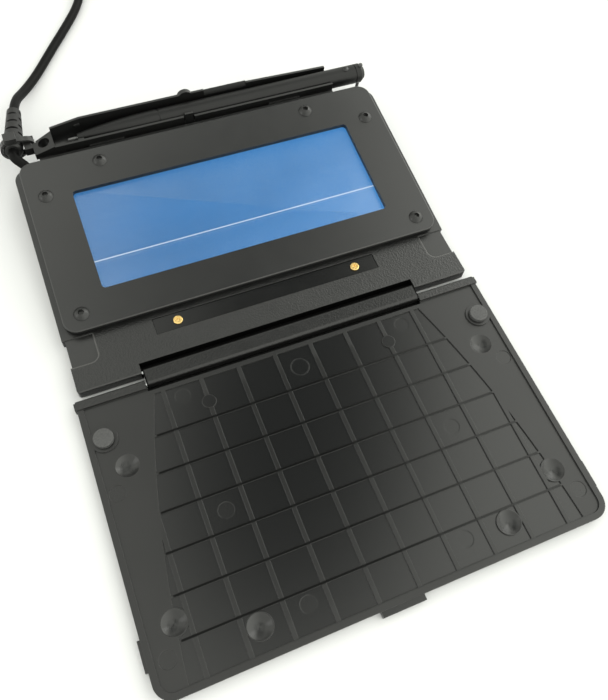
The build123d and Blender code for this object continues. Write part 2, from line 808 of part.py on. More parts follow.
def make_cover():
    """Folding cover: skin, rim, hinge bars, tabs, waffle pockets and screw dimples."""
    skin = extrude(cover_outline(0), bar_top_z)
    skin = fillet(skin.faces().sort_by(Axis.Z)[0].edges(), cover_edge_radius)
    skin += block(-cover_half_width - bar_overhang, cover_half_width + bar_overhang, bar_near_y,
                  cover_hinge_y - cover_hinge_corner_radius, cover_edge_radius, bar_top_z)
    skin -= block(-overrun - cover_half_width, overrun + cover_half_width, cover_user_y - overrun,
                  bar_near_y, rim_top_z, overrun)
    skin -= edge_round(cover_hinge_y, bar_top_z, bar_edge_radius, -1)
    inner = extrude(cover_outline(rim_thickness), overrun)
    inner -= block(-overrun - cover_half_width, overrun + cover_half_width, bar_near_y, overrun,
                   -overrun, 2 * overrun)
    cover = skin - Pos(0, 0, cover_skin) * inner
    cover -= block(-notch_half_width, notch_half_width, notch_near_y, overrun + cover_hinge_y,
                   -overrun, overrun)
    cover += block(-notch_half_width, notch_half_width, notch_near_y, web_far_y, 0, web_thickness)
    for side in (-1, 1):
        x0, x1 = sorted((side * (cover_half_width - rim_thickness), side * side_tab_x))
        cover += block(x0, x1, side_tab_near_y, side_tab_far_y, 0, tab_height)
        cover += disc(side * bumper_x, bumper_y, cover_skin / 2, cover_skin + bumper_boss_height,
                      bumper_boss_radius)
        middle = side * (notch_half_width + pin_outside / 2)
        cover -= Pos(middle, cover_axis_y, hinge_axis_z) * Rot(0, 90, 0) * Cylinder(
            pin_radius, pin_outside)
    cover += block(-front_tab_half_width, front_tab_half_width, front_tab_y,
                   cover_user_y + rim_thickness, 0, tab_height)
    cover &= block(-side_tab_x, side_tab_x, front_tab_y, cover_hinge_y, 0, bar_top_z)
    cover -= make_pockets()
    ball_radius = (dimple_radius ** 2 + dimple_depth ** 2) / (2 * dimple_depth)
    for x, y in dimple_places():
        cover -= Pos(x, y, cover_skin + ball_radius - dimple_depth) * Sphere(ball_radius)
    for x, y in mirrored([(cover_half_width - inset, y) for inset, y in mark_insets]):
        cover -= disc(x, y, mark_floor(x, y), cover_skin + overrun, mark_radius)
    return cover


def mark_floor(x, y):
    """Ejector marks sink a little below the floor or the pocket they are in."""
    in_field = abs(x) < field_near_half and y < field_far_y
    return cover_skin - pocket_depth * (mark_depth_share + (1 if in_field else 0))


def make_pockets():
    """The waffle pockets: the field less its ribs, its round pads and the dimple rings."""
    field = pocket_field()
    length = field_far_y - field_near_y
    middle_y = (field_far_y + field_near_y) / 2
    for column in range(-1, rib_columns + 1):
        x = (column - (rib_columns - 1) / 2) * rib_pitch_x
        field -= Pos(x, middle_y) * Rectangle(rib_width_y, length + overrun)
    for row in range(rib_rows):
        field -= Pos(0, first_row_y - row * rib_pitch_y) * Rectangle(2 * cover_half_width, rib_width_x)
    for side in (-1, 1):
        field -= Pos(side * round_pad_x, round_pad_y) * Circle(round_pad_radius)
    for x, y in dimple_places():
        field -= Pos(x, y) * Circle(dimple_radius + dimple_ring)
    return extrude(Pos(0, 0, cover_skin - pocket_depth) * field, overrun)


def make_bumpers():
    """Two rubber bumpers on the cover's bosses."""
    bumpers = []
    for side in (-1, 1):
        seat = cover_skin + bumper_boss_height
        bumper = disc(side * bumper_x, bumper_y, seat, seat + bumper_height, bumper_radius)
        bumpers.append(fillet(bumper.edges().sort_by(Axis.Z)[-1], bumper_crown))
    return bumpers


def trough_section(x, far_y, inset, top):
    """Half-pipe section across the tray at one x, with straight walls above."""
    near_y = tray_y - tray_outer_radius
    radius = (far_y - near_y) / 2 - inset
    middle_y = (far_y + near_y) / 2
    arc = ThreePointArc((middle_y - radius, tray_z), (middle_y, tray_z - radius), (middle_y + radius, tray_z))
    walls = Polyline((middle_y + radius, tray_z), (middle_y + radius, top), (middle_y - radius, top),
                     (middle_y - radius, tray_z))
    return Plane(origin=(x, 0, 0), x_dir=(0, 1, 0), z_dir=(1, 0, 0)) * make_face([arc, walls])


def trough(inset, top, x_shift):
    """The tray's whole outer or inner form, straight first and tapered to the left."""
    full_far = tray_y + tray_outer_radius
    right = trough_section(tray_right_x + x_shift, full_far, inset, top)
    middle = trough_section(tray_taper_x, full_far, inset, top)
    partition = trough_section(tray_partition_x, tray_partition_far_y, inset, top)
    return loft([middle, right]) + loft([partition, middle])


def make_tray():
    """Pen tray: tapered half pipe, end pad with its hole, ear, wall details and screw tabs."""
    partition = trough_section(tray_partition_x, tray_partition_far_y, 0, partition_top_z)
    end = trough_section(tray_end_x, tray_end_far_y, 0, ear_top_z)
    tray = trough(0, far_wall_top_z, 0) - trough(tray_wall, far_wall_top_z + overrun, overrun)
    tray = tray - cut_tray_walls() + loft([end, partition])
    hole_y = (tray_y - tray_outer_radius + tray_partition_far_y) / 2
    tray -= disc(tray_hole_x, hole_y, -overrun, 2 * overrun, tray_hole_radius)
    tray += block(ear_end_x, tray_end_x + tray_wall, ear_near_y, ear_far_y, ear_bottom_z, ear_top_z)
    tray -= block(slot_left_x, slot_right_x, slot_near_y, slot_far_y, -overrun, 2 * overrun)
    near_wall = tray_y - tray_outer_radius
    far_wall = tray_y + tray_outer_radius
    finger_bottom = near_wall_top_z - finger_depth
    tray -= block(finger_left_x - finger_slit, finger_right_x + finger_slit, near_wall - overrun,
                  near_wall + tray_wall + running_clear, finger_bottom, overrun * 2)
    tray += block(finger_left_x, finger_right_x, near_wall, near_wall + tray_wall,
                  finger_bottom - tray_wall, finger_top_z)
    flap = Polyline((far_wall - tray_wall, flap_bottom_z), (far_wall, flap_bottom_z),
                    (far_wall, flap_top_z), (far_wall - flap_edge, flap_top_z), close=True)
    tray += Pos(flap_left_x) * extrude(Plane.YZ * make_face(flap), flap_right_x - flap_left_x)
    dome_z = far_wall_top_z + dome_rise - dome_radius
    dome = Pos(dome_x, far_wall - tray_wall / 2, dome_z) * Rot(90, 0, 0) * Cylinder(
        dome_radius, tray_wall)
    bump = Pos(dome_x, far_wall, dome_z) * Sphere(dome_radius)
    bump &= block(dome_x - dome_radius, dome_x + dome_radius, far_wall - tray_wall / 2,
                  far_wall + dome_height, tray_z, 2 * overrun)
    tray += dome & block(-tray_right_x, tray_right_x, 0, 2 * far_wall, tray_z, 2 * overrun)
    tray += bump
    for y0, y1 in ((near_wall, near_wall + tray_wall + rest_depth),
                   (far_wall - tray_wall - rest_depth, far_wall)):
        tray += block(rest_x - rest_length / 2, rest_x + rest_length / 2, y0, y1,
                      near_wall_left_z - rest_height, near_wall_left_z)
    for side in (-1, 1):
        tab = block(side * tray_tab_x - tray_tab_half_width, side * tray_tab_x + tray_tab_half_width,
                    ledge_rear_y, ledge_rear_y + tray_tab_thickness, tray_tab_bottom_z, tray_z)
        tray += tab - trough(tray_wall, far_wall_top_z + overrun, overrun)
        tray -= Pos(side * tray_tab_x, ledge_rear_y, tray_screw_z) * Rot(90, 0, 0) * Cylinder(
            tray_screw_radius + running_clear, overrun)
    return tray


def cut_tray_walls():
    """What comes off the tray's walls: two heights in front, a gap for the flap and a slope behind."""
    front = block(tray_partition_x - overrun, finger_left_x, -overrun, tray_y, near_wall_left_z,
                  2 * overrun)
    front += block(finger_left_x, tray_right_x + overrun, -overrun, tray_y, near_wall_top_z,
                   2 * overrun)
    slope = Polyline((flap_right_x, far_wall_right_z), (tray_right_x, far_wall_end_z),
                     (tray_right_x, 2 * overrun), (flap_right_x, 2 * overrun), close=True)
    behind = Pos(0, tray_y + 2 * tray_outer_radius) * extrude(
        Plane.XZ * make_face(slope), 2 * tray_outer_radius)
    gap = block(flap_left_x, flap_right_x, tray_y, tray_y + 2 * tray_outer_radius, flap_bottom_z,
                2 * overrun)
    return front + behind + gap


def make_tray_screws():
    """Pan-head screws through the tray's tabs into the back of the base."""
    screws = []
    seat_y = ledge_rear_y + tray_tab_thickness
    for side in (-1, 1):
        here = Pos(side * tray_tab_x, seat_y, tray_screw_z) * Rot(-90, 0, 0)
        middle = Pos(0, 0, tray_screw_head_height / 2)
        head = middle * Cylinder(tray_screw_head_radius, tray_screw_head_height)
        head = fillet(head.edges().sort_by(Axis.Z)[-1], tray_screw_head_height / 3)
        shank = Pos(0, 0, -tray_screw_length / 2) * Cylinder(tray_screw_radius, tray_screw_length)
        cross = Box(cross_slot_length, cross_slot_width, 2 * cross_slot_depth)
        cross += Box(cross_slot_width, cross_slot_length, 2 * cross_slot_depth)
        screws.append(here * (head + shank - Pos(0, 0, tray_screw_head_height) * cross))
    return screws


def turned(points, curve=None):
    """A solid turned about the pen's axis from points of (x, radius)."""
    face = make_face(Polyline(*points, close=True)) if curve is None else make_face(curve)
    return Pos(0, tray_y, pen_axis_z) * revolve(face, Axis.X)


def make_pen_nose():
    """Tapered nose: a gently swelling cone with a bore for the nib and the coil."""
    outer = ThreePointArc((nose_tip_x, nose_tip_radius), (nose_swell_x, nose_swell_radius),
                          (seam_x, pen_radius))
    back = seam_x + pen_wall
    rest = Polyline((seam_x, pen_radius), (seam_x, pen_radius - pen_wall / 2),
                    (back, pen_radius - pen_wall / 2), (back, pen_coil_radius + seat_clear),
                    (nose_chamber_x, pen_coil_radius + seat_clear),
                    (nose_chamber_x, nib_radius + running_clear),
                    (cushion_right_x, nib_radius + running_clear),
                    (cushion_right_x, nib_collar_radius + running_clear),
                    (nib_collar_left_x - nib_travel, nib_collar_radius + running_clear),
                    (nib_collar_left_x - nib_travel, nib_radius + running_clear),
                    (nose_tip_x, nib_radius + running_clear), (nose_tip_x, nose_tip_radius))
    return turned(None, [outer, rest])


def make_pen_barrel():
    """Barrel: a tube with the seam groove and the end collar."""
    bore = pen_radius - pen_wall
    socket = pen_radius - pen_wall / 2 + running_clear
    barrel = turned([
        (seam_x + seam_width, pen_radius - seam_depth), (seam_x + 2 * seam_width, pen_radius),
        (barrel_end_x, pen_radius), (barrel_end_x, bore), (seam_x + pen_wall + seam_width, bore),
        (seam_x + pen_wall + seam_width, socket), (seam_x, socket),
        (seam_x, pen_radius - seam_depth)])
    barrel -= disc(tail_screw_x, tray_y, pen_axis_z, pen_axis_z + overrun, tail_screw_shank_radius)
    return barrel


def make_pen_cap():
    """Tail cap with a flattened end and the tether's eyelet."""
    plug = pen_radius - pen_wall - running_clear
    inside_x = tail_screw_x - 2 * tail_screw_radius
    cap = turned([
        (inside_x, 0), (inside_x, plug), (barrel_end_x, plug), (barrel_end_x, pen_radius - seam_depth),
        (cap_neck_x, pen_radius - seam_depth), (cap_neck_x, pen_radius), (cap_round_x, pen_radius),
        (cap_end_x, cap_end_radius), (cap_end_x, 0)])
    cap -= disc(eyelet_x, tray_y, pen_axis_z - overrun, pen_axis_z + overrun, eyelet_radius)
    cap -= disc(tail_screw_x, tray_y, pen_axis_z, pen_axis_z + overrun, tail_screw_shank_radius)
    return cap


def make_tail_screw():
    """Small round-head screw that holds the cap in the barrel."""
    top = pen_axis_z + pen_radius
    ball = (tail_screw_radius ** 2 + tail_screw_height ** 2) / (2 * tail_screw_height)
    seat = disc(tail_screw_x, tray_y, top - seam_depth, top + tail_screw_height, tail_screw_radius)
    head = seat & (Pos(tail_screw_x, tray_y, top + tail_screw_height - ball) * Sphere(ball))
    shank = disc(tail_screw_x, tray_y, pen_axis_z, top, tail_screw_shank_radius)
    slot = Pos(tail_screw_x, tray_y, top + tail_screw_height) * Box(
        2 * tail_screw_radius, cross_slot_width, cross_slot_depth)
    return head - turned([(inside, r) for inside, r in barrel_skin()]) + shank - slot


def barrel_skin():
    """Section of the barrel's outside round the tail screw, to seat the screw's head on it."""
    return ((tail_screw_x - overrun, 0), (tail_screw_x - overrun, pen_radius),
            (tail_screw_x + overrun, pen_radius), (tail_screw_x + overrun, 0))


def make_nib():
    """Nib rod with its stop collar."""
    tip = nib_radius / 2
    return turned([
        (nib_tip_x, 0), (nib_tip_x, tip), (nib_tip_x + tip, nib_radius), (nib_collar_left_x, nib_radius),
        (nib_collar_left_x, nib_collar_radius), (nib_collar_right_x, nib_collar_radius),
        (nib_collar_right_x, nib_radius), (nib_end_x, nib_radius), (nib_end_x, 0)])


def make_cushion():
    """Soft sleeve behind the nib's collar that pushes the nib back out."""
    inner = nib_radius + running_clear
    return turned([(cushion_left_x, inner), (cushion_left_x, nib_collar_radius),
                   (cushion_right_x, nib_collar_radius), (cushion_right_x, inner)])


def make_ferrite():
    """Ferrite core of the pen's coil, with a bore for the nib's end."""
    return turned([(ferrite_left_x, 0), (ferrite_left_x, ferrite_radius),
                   (ferrite_right_x, ferrite_radius), (ferrite_right_x, 0)])


def make_pen_winding():
    """Wire winding round the ferrite."""
    margin = pen_wall
    return turned([(ferrite_left_x + margin, ferrite_radius), (ferrite_left_x + margin, pen_coil_radius),
                   (ferrite_right_x - margin, pen_coil_radius), (ferrite_right_x - margin, ferrite_radius)])


def make_pen_board():
    """Narrow circuit board inside the barrel."""
    return block(pen_board_left_x, pen_board_right_x, tray_y - pen_board_width / 2,
                 tray_y + pen_board_width / 2, pen_axis_z - pen_board_thickness / 2,
                 pen_axis_z + pen_board_thickness / 2)


def route_radii(points):
    """Bend radius at each corner of a route: as large as its two runs allow."""
    radii = []
    for before, here, after in zip(points, points[1:], points[2:]):
        incoming = Vector(*here) - Vector(*before)
        outgoing = Vector(*after) - Vector(*here)
        turn = math.radians(incoming.get_angle(outgoing))
        radii.append(bend_share * min(incoming.length, outgoing.length) / math.tan(turn / 2))
    return radii




def tube(name, points, diameter):
    """A round tube along straight runs joined by tangent arcs; prints its bends and length."""
    radii = route_radii(points)
    path = FilletPolyline(*points, radius=radii)
    section = Plane(origin=path @ 0, z_dir=path % 0) * Circle(diameter / 2)
    solid = sweep(section, path=path)
    share = solid.volume / (math.pi * diameter ** 2 / 4 * path.length)
    print(f"{name}: length {path.length:.1f}, radii {[round(r, 1) for r in radii]}, volume share {share:.4f}")
    return solid, path.length


def coil_arcs(centre, first_radius, diameter, gap, half_turns, start_deg, turn, low, exit_height):
    """Half-turn arcs of a two-layer coil: in on the desk, up at the middle, out on top, then down."""
    pitch = diameter + gap
    along = Vector(math.cos(math.radians(start_deg)), math.sin(math.radians(start_deg)), 0)
    across = Vector(-along.Y, along.X, 0) * turn
    inward = [first_radius - k * pitch / 2 for k in range(half_turns)]
    radii = inward + [inward[-1] - pitch / 2] + inward[:0:-1] + [first_radius + 2 * pitch]
    heights = [low] * (half_turns + 1) + [low + pitch] * half_turns + [exit_height]
    point = Vector(*centre, low) + along * first_radius
    side = 1
    arcs = []
    for k, radius in enumerate(radii):
        height_mid = (heights[k] + heights[k + 1]) / 2
        end = point - along * (2 * side * radius)
        end = Vector(end.X, end.Y, heights[k + 1])
        middle = (point + end) / 2 + across * (side * radius)
        middle = Vector(middle.X, middle.Y, height_mid)
        arcs.append(ThreePointArc(point, middle, end))
        point = end
        side = -side
    return arcs


def coil_clearance(arcs, diameter):
    """Least gap between one turn of a coil and the next, measured on points."""
    samples = []
    travelled = 0
    for arc in arcs:
        for k in range(coil_samples):
            share = k / coil_samples
            samples.append((travelled + arc.length * share, arc @ share))
        travelled += arc.length
    least = travelled
    for a, (sa, pa) in enumerate(samples):
        for sb, pb in samples[a + 1:]:
            if sb - sa > 4 * diameter:
                least = min(least, (pa - pb).length)
    return least - diameter


def coil(name, arcs, diameter):
    """One unbroken tube along the coil's arcs; prints its length and least gap."""
    path = Wire(arcs)
    section = Plane(origin=path @ 0, z_dir=path % 0) * Circle(diameter / 2)
    solid = sweep(section, path=path)
    share = solid.volume / (math.pi * diameter ** 2 / 4 * path.length)
    print(f"{name}: length {path.length:.1f}, gap {coil_clearance(arcs, diameter):.2f}, "
          f"volume share {share:.4f}")
    return solid, path.length


def coil_ends(arcs):
    """Point and direction where a coil starts and where it ends."""
    path = Wire(arcs)
    return path @ 0, path % 0, path @ 1, path % 1


def make_boot():
    """Tapered strain relief with slots cut from both sides, turned alternately."""
    start = Vector(*boot_start)
    axis = Vector(*boot_end) - start
    length = axis.length
    collar = boot_collar_share * length
    round_off = boot_end_round
    profile = make_face(Polyline(
        (0, 0), (boot_root_radius - round_off, 0), (boot_root_radius, round_off),
        (boot_root_radius, collar), (boot_tip_radius, length), (0, length), close=True))
    boot = revolve(Plane.XZ * profile, Axis.Z)
    core = cable_diameter / 2 + boot_core_wall
    for k, share in enumerate(boot_slot_shares):
        for side in (-1, 1):
            cut = Pos(side * (core + overrun / 2), 0, share * length) * Box(
                overrun, overrun, boot_slot_width)
            boot -= Rot(0, 0, (k % 2) * 90) * cut
    return Plane(origin=start, z_dir=axis) * boot


def tie_outline(boot_x, boot_z, grow):
    """Closed loop round the strain relief and the tray's ear, grown by a margin."""
    peg_x = (ear_end_x + slot_left_x) / 2
    peg_z = (ear_bottom_z + ear_top_z) / 2
    peg_radius = math.hypot(slot_left_x - peg_x, ear_top_z - peg_z)
    big = Pos(boot_x, boot_z) * Circle(boot_root_radius + tie_clear + grow)
    small = Pos(peg_x, peg_z) * Circle(peg_radius + running_clear + grow)
    return make_hull(big.edges() + small.edges())


def make_tie():
    """Cable tie: a band through the ear's slot, with its square head on top."""
    share = (tie_y - boot_start[1]) / (boot_end[1] - boot_start[1])
    boot_x = boot_start[0] + share * (boot_end[0] - boot_start[0])
    boot_z = boot_start[2] + share * (boot_end[2] - boot_start[2])
    band = tie_outline(boot_x, boot_z, tie_thickness) - tie_outline(boot_x, boot_z, 0)
    tie = Plane(origin=(0, tie_y + tie_width / 2, 0), x_dir=(1, 0, 0), z_dir=(0, -1, 0)) * extrude(
        band, tie_width)
    head_z = boot_z + boot_root_radius + tie_clear
    head = block(boot_x - tie_head_width / 2, boot_x + tie_head_width / 2,
                 tie_y - tie_head_length / 2, tie_y + tie_head_length / 2, head_z, head_z + tie_head_height)
    return tie + head


def save_plug(point, direction):
    """Plug at the cable's end: moulded grip, metal shell, contact tongue."""
    level = Vector(direction.X, direction.Y, 0)
    place = Plane(origin=point + level * running_clear, x_dir=level.cross(Vector(0, 0, 1)), z_dir=level)
    neck = Cone(cable_diameter / 2 + boot_core_wall, plug_neck_radius, plug_neck_length)
    neck = Pos(0, 0, plug_neck_length / 2) * neck
    grip = extrude(RectangleRounded(plug_grip_width, plug_grip_height, plug_grip_radius), plug_grip_length)
    grip = chamfer(grip.faces().sort_by(Axis.Z)[0].edges(), plug_grip_radius / 2)
    grip = Pos(0, 0, plug_neck_length) * grip
    grip_end = plug_neck_length + plug_grip_length
    socket = Pos(0, 0, grip_end - plug_shell_inside) * extrude(
        Rectangle(plug_shell_width, plug_shell_height), overrun)
    save("usb_plug_grip", place * (neck + grip - socket))
    wall = plug_shell_wall
    shell = extrude(Rectangle(plug_shell_width, plug_shell_height)
                    - Rectangle(plug_shell_width - 2 * wall, plug_shell_height - 2 * wall),
                    plug_shell_inside + plug_shell_length)
    windows = [Pos(side * plug_shell_width / 4, 0, plug_shell_inside + plug_shell_length / 2) * Box(
        plug_window, overrun, plug_window) for side in (-1, 1)]
    shell = Pos(0, 0, grip_end - plug_shell_inside) * (shell - windows)
    save("usb_plug_shell", place * shell)
    tongue_width = plug_shell_width - 2 * wall
    tongue = extrude(Rectangle(tongue_width, plug_tongue_height),
                     plug_shell_inside + plug_shell_length - plug_contact_width)
    rise = plug_shell_height / 2 - wall - plug_tongue_height / 2
    save("usb_plug_tongue", place * (Pos(0, -rise, grip_end - plug_shell_inside) * tongue))


def save_usb_cable():
    """Lead out of the base, strain relief, tie, free cable, coil and plug."""
    lead, _ = tube("usb_lead", lead_route, cable_diameter)
    save("usb_lead", lead)
    save("usb_strain_relief", make_boot())
    save("cable_tie", make_tie())
    free, free_length = tube("usb_cable", cable_route, cable_diameter)
    save("usb_cable", free)
    low = cable_diameter / 2 + desk_clear
    arcs = coil_arcs(coil_centre, coil_radius, cable_diameter, coil_gap, coil_half_turns,
                     180, -1, low, plug_grip_height / 2 + desk_clear)
    wound, wound_length = coil("usb_cable_coil", arcs, cable_diameter)
    save("usb_cable_coil", wound)
    _, _, end, direction = coil_ends(arcs)
    save_plug(end, direction)
    print(f"usb cable in all: {free_length + wound_length:.0f}")


def save_tether():
    """Pen tether: out of the base, a small coil on the desk, and up to the pen's eyelet."""
    low = tether_diameter / 2 + desk_clear
    free, free_length = tube("tether_lead", tether_route, tether_diameter)
    save("tether_lead", free)
    arcs = coil_arcs(tether_coil_centre, tether_coil_radius, tether_diameter, tether_gap,
                     tether_half_turns, 180, -1, low, low)
    wound, wound_length = coil("tether_coil", arcs, tether_diameter)
    save("tether_coil", wound)
    _, _, end, direction = coil_ends(arcs)
    cap_bottom = pen_axis_z - pen_radius
    cap_top = pen_axis_z + pen_radius
    route = [tuple(end), *tether_rise, (eyelet_x, tray_y, cap_bottom)]
    rise, rise_length = tube("tether_rise", route, tether_diameter)
    save("tether_rise", rise)
    ball = Pos(eyelet_x, tray_y, cap_top) * Sphere(tether_knot_radius)
    ball &= block(eyelet_x - overrun, eyelet_x + overrun, tray_y - overrun, tray_y + overrun,
                  cap_top, cap_top + overrun)
    save("tether_knot", ball + disc(eyelet_x, tray_y, cap_bottom, cap_top, tether_diameter / 2))
    print(f"tether in all: {free_length + wound_length + rise_length:.0f}")


if __name__ == "__main__":
    save("base_housing", make_base())
    save("bottom_cover", make_floor())
    save("bottom_screws", make_floor_screws())
    save("rubber_feet", make_feet())
    save("top_plate", make_plate())
    save("screen_frame", make_screen_frame())
    save("plate_screws", make_plate_screws())
    light = save_screen_stack()
    save("inset_strip", make_strip())
    save("strip_screws", make_strip_screws())
    save_electronics(light)
    save("hinge_link", make_link())
    save("cover", make_cover())
    save("cover_bumpers", make_bumpers())
    save("pen_tray", make_tray())
    save("tray_screws", make_tray_screws())
    save("pen_nose", make_pen_nose())
    save("pen_barrel", make_pen_barrel())
    save("pen_tail_cap", make_pen_cap())
    save("pen_tail_screw", make_tail_screw())
    save("pen_nib", make_nib())
    save("nib_cushion", make_cushion())
    save("pen_ferrite", make_ferrite())
    save("pen_winding", make_pen_winding())
    save("pen_board", make_pen_board())
    save("hinge_pins_base", [hinge_pin(side * (link_half_width - pin_inside),
                                       side * (recess_half_width + pin_outside), base_axis_y)
                             for side in (-1, 1)])
    save("hinge_pins_cover", [hinge_pin(side * (link_half_width - pin_inside),
                                        side * (notch_half_width + pin_outside), cover_axis_y)
                              for side in (-1, 1)])
    save_usb_cable()
    save_tether()
    print(len(written), "nodes")
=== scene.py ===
import math
import bpy
from mathutils import Matrix, Vector


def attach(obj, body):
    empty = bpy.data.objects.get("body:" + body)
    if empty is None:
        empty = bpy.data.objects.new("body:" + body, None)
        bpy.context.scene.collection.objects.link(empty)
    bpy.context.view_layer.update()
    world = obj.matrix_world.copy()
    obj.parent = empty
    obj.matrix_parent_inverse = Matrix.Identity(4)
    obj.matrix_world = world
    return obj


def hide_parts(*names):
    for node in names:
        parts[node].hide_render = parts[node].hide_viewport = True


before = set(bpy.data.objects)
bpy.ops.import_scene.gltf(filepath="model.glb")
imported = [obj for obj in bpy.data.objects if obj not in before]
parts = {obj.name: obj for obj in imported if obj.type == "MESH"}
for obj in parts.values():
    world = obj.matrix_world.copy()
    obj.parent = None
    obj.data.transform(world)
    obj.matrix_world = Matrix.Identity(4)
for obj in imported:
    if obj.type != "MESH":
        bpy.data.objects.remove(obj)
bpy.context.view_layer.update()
scene = bpy.context.scene
mm = 0.001

# Camera: solved from the photograph on the pad's own rectangles and screw places.
camera_place = Vector((-53.06, -161.03, 223.11)) * mm
camera_right = Vector((0.92579, -0.37216, 0.06644))
camera_down = Vector((-0.30151, -0.83290, -0.46408))
camera_forward = Vector((0.22805, 0.40961, -0.88330))
camera_lens = 35.37

# Free cable, in mm: out of the strain relief, down to the desk and away behind the pad.
cable_diameter = 3.8
cable_route = (
    (-69.8, 82.2, 9.0), (-68.57, 90.03, 7.89), (-63.6, 99.4, 3.8), (-56.6, 109.9, 1.95),
    (-46.9, 124.3, 1.95), (-37.3, 137.7, 1.95), (-28.0, 152.0, 1.95), (-22.9, 167.6, 1.95),
    (-22.4, 183.0, 1.95),
)
cable_coil = {"centre": (11.0, 196.0), "radius": 33.4, "pitch": 4.55, "half_turns": 11,
              "low": 1.95, "exit": 4.05}

# Pen tether, in mm: out of the base, a small coil on the desk, up to the pen's tail.
tether_diameter = 1.4
tether_route = (
    (30.0, 50.2, 5.0), (30.0, 52.4, 5.0), (31.4, 56.4, 2.4), (34.1, 60.0, 0.75),
)
tether_rise = (
    (57.8, 59.8, 0.75), (60.6, 56.2, 0.75), (65.2, 54.2, 0.75), (70.4, 53.8, 0.9),
    (73.9, 55.0, 2.6), (75.6, 56.2, 6.2), (75.6, 56.2, 9.5),
)
tether_coil = {"centre": (43.0, 63.6), "radius": 8.9, "pitch": 2.0, "half_turns": 4,
               "low": 0.75, "exit": 0.75}

# Base and link: places that the materials and the recess lip follow, in mm
pad_side_x = 65.3           # inner side of the smooth corner pads
pad_near_y = -39.2
pad_corner = 3.0
block_rear_y = -27.7        # where the grained block ends under the plate
recess_side_x = 53.2        # hinge recess in the block
recess_far_y = -45.2
recess_open_y = -49.1
recess_shade_z = 4.55       # its walls are painted darker below this height, as painted shade
link_half_width = 52.7
link_rim_y = -48.1          # where the link's top rounds off, inside the recess; painted shade from here back
lip_low, lip_high = 1.02, 1.5
lip_near_y = -47.2

# Cover: places on its inside, in mm. Spots are mirrored about x = 0.
outside_z = 0.3             # everything below is the cover's outer face
pocket_level = (2.85, 2.75)  # the floor is above, the pockets below
bar_near_y = -54.9          # raised bars beside the link
dimple_spots = ((66.6, -78.9), (66.6, -130.5), (43.3, -140.8))
dimple_edge = (4.05, 3.9)
mark_spots = ((72.0, -86.8), (71.2, -139.5), (42.4, -61.2), (41.3, -104.1), (27.35, -140.3))
mark_radius = 2.7
round_pad_spots = ((34.5, -66.2),)
round_pad_radius = 2.2
ring_spots = ((0.0, -64.6),)
ring_radii = (3.15, 3.35)
turning_pitch = 0.16        # of the turned rings in the dimples
first_row_y = -72.187       # ribs that run from side to side
row_pitch = 12.787
row_half_width = 0.32
rows_far_y = -63.0
rows_near_y = -143.0
field_far_y = -57.1         # the ribbed field, widest near the writer
field_far_half = 51.3
field_middle_y = -104.2
field_middle_half = 62.6
field_near_y = -148.1
field_near_extra = 5.0

# Display, in mm
signing_line_y = -0.82
display_half_width = 57
display_dot = 0.47
display_dot_gap = 0.04

pad_middle = (0, -0.03, 0)  # where the lights aim, in metres


def make_camera():
    """The camera at the photograph's place, looking the way it looked."""
    data = bpy.data.cameras.new("camera")
    data.lens = camera_lens
    data.sensor_width = 36
    data.clip_start = 0.01
    camera = bpy.data.objects.new("camera", data)
    scene.collection.objects.link(camera)
    turn = Matrix((camera_right, -camera_down, -camera_forward)).transposed().to_4x4()
    camera.matrix_world = Matrix.Translation(camera_place) @ turn
    scene.camera = camera


def coil_points(centre, radius, pitch, half_turns, low, exit):
    """Points round a two-layer coil, 12 to each half turn: in on the desk, then out on top."""
    per_half = 12
    inward = [radius - k * pitch / 2 for k in range(half_turns)]
    radii = inward + [inward[-1] - pitch / 2] + inward[:0:-1] + [radius + 2 * pitch]
    heights = [low] * (half_turns + 1) + [low + pitch] * half_turns + [exit]
    x, y = centre
    x -= radius
    side = 1
    points = [(x, y, low)]
    for k, r in enumerate(radii):
        for i in range(1, per_half + 1):
            angle = math.pi * i / per_half
            rise = heights[k] + (heights[k + 1] - heights[k]) * i / per_half
            points.append((x + side * r * (1 - math.cos(angle)),
                           y + side * r * math.sin(angle), rise))
        x += side * 2 * r
        side = -side
    return points


def make_cord(name, points, diameter):
    """A round cord on one smooth spline."""
    curve = bpy.data.curves.new(name, "CURVE")
    curve.dimensions = "3D"
    curve.bevel_depth = 1.0
    curve.bevel_resolution = 6
    curve.resolution_u = 6
    curve.use_fill_caps = True
    spline = curve.splines.new("NURBS")
    spline.points.add(len(points) - 1)
    for point, place in zip(spline.points, points):
        point.co = (place[0] * mm, place[1] * mm, place[2] * mm, 1)
        point.radius = diameter * mm / 2
    spline.order_u = 3
    spline.use_endpoint_u = True
    cord = bpy.data.objects.new(name, curve)
    scene.collection.objects.link(cord)
    return cord


def make_cords():
    cable = make_cord("free_cable", list(cable_route) + coil_points(**cable_coil), cable_diameter)
    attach(cable, "base")
    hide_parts("usb_cable", "usb_cable_coil")
    points = list(tether_route) + coil_points(**tether_coil) + list(tether_rise)
    tether = make_cord("pen_tether", points, tether_diameter)
    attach(tether, "base")
    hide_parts("tether_lead", "tether_coil", "tether_rise")
    return cable, tether


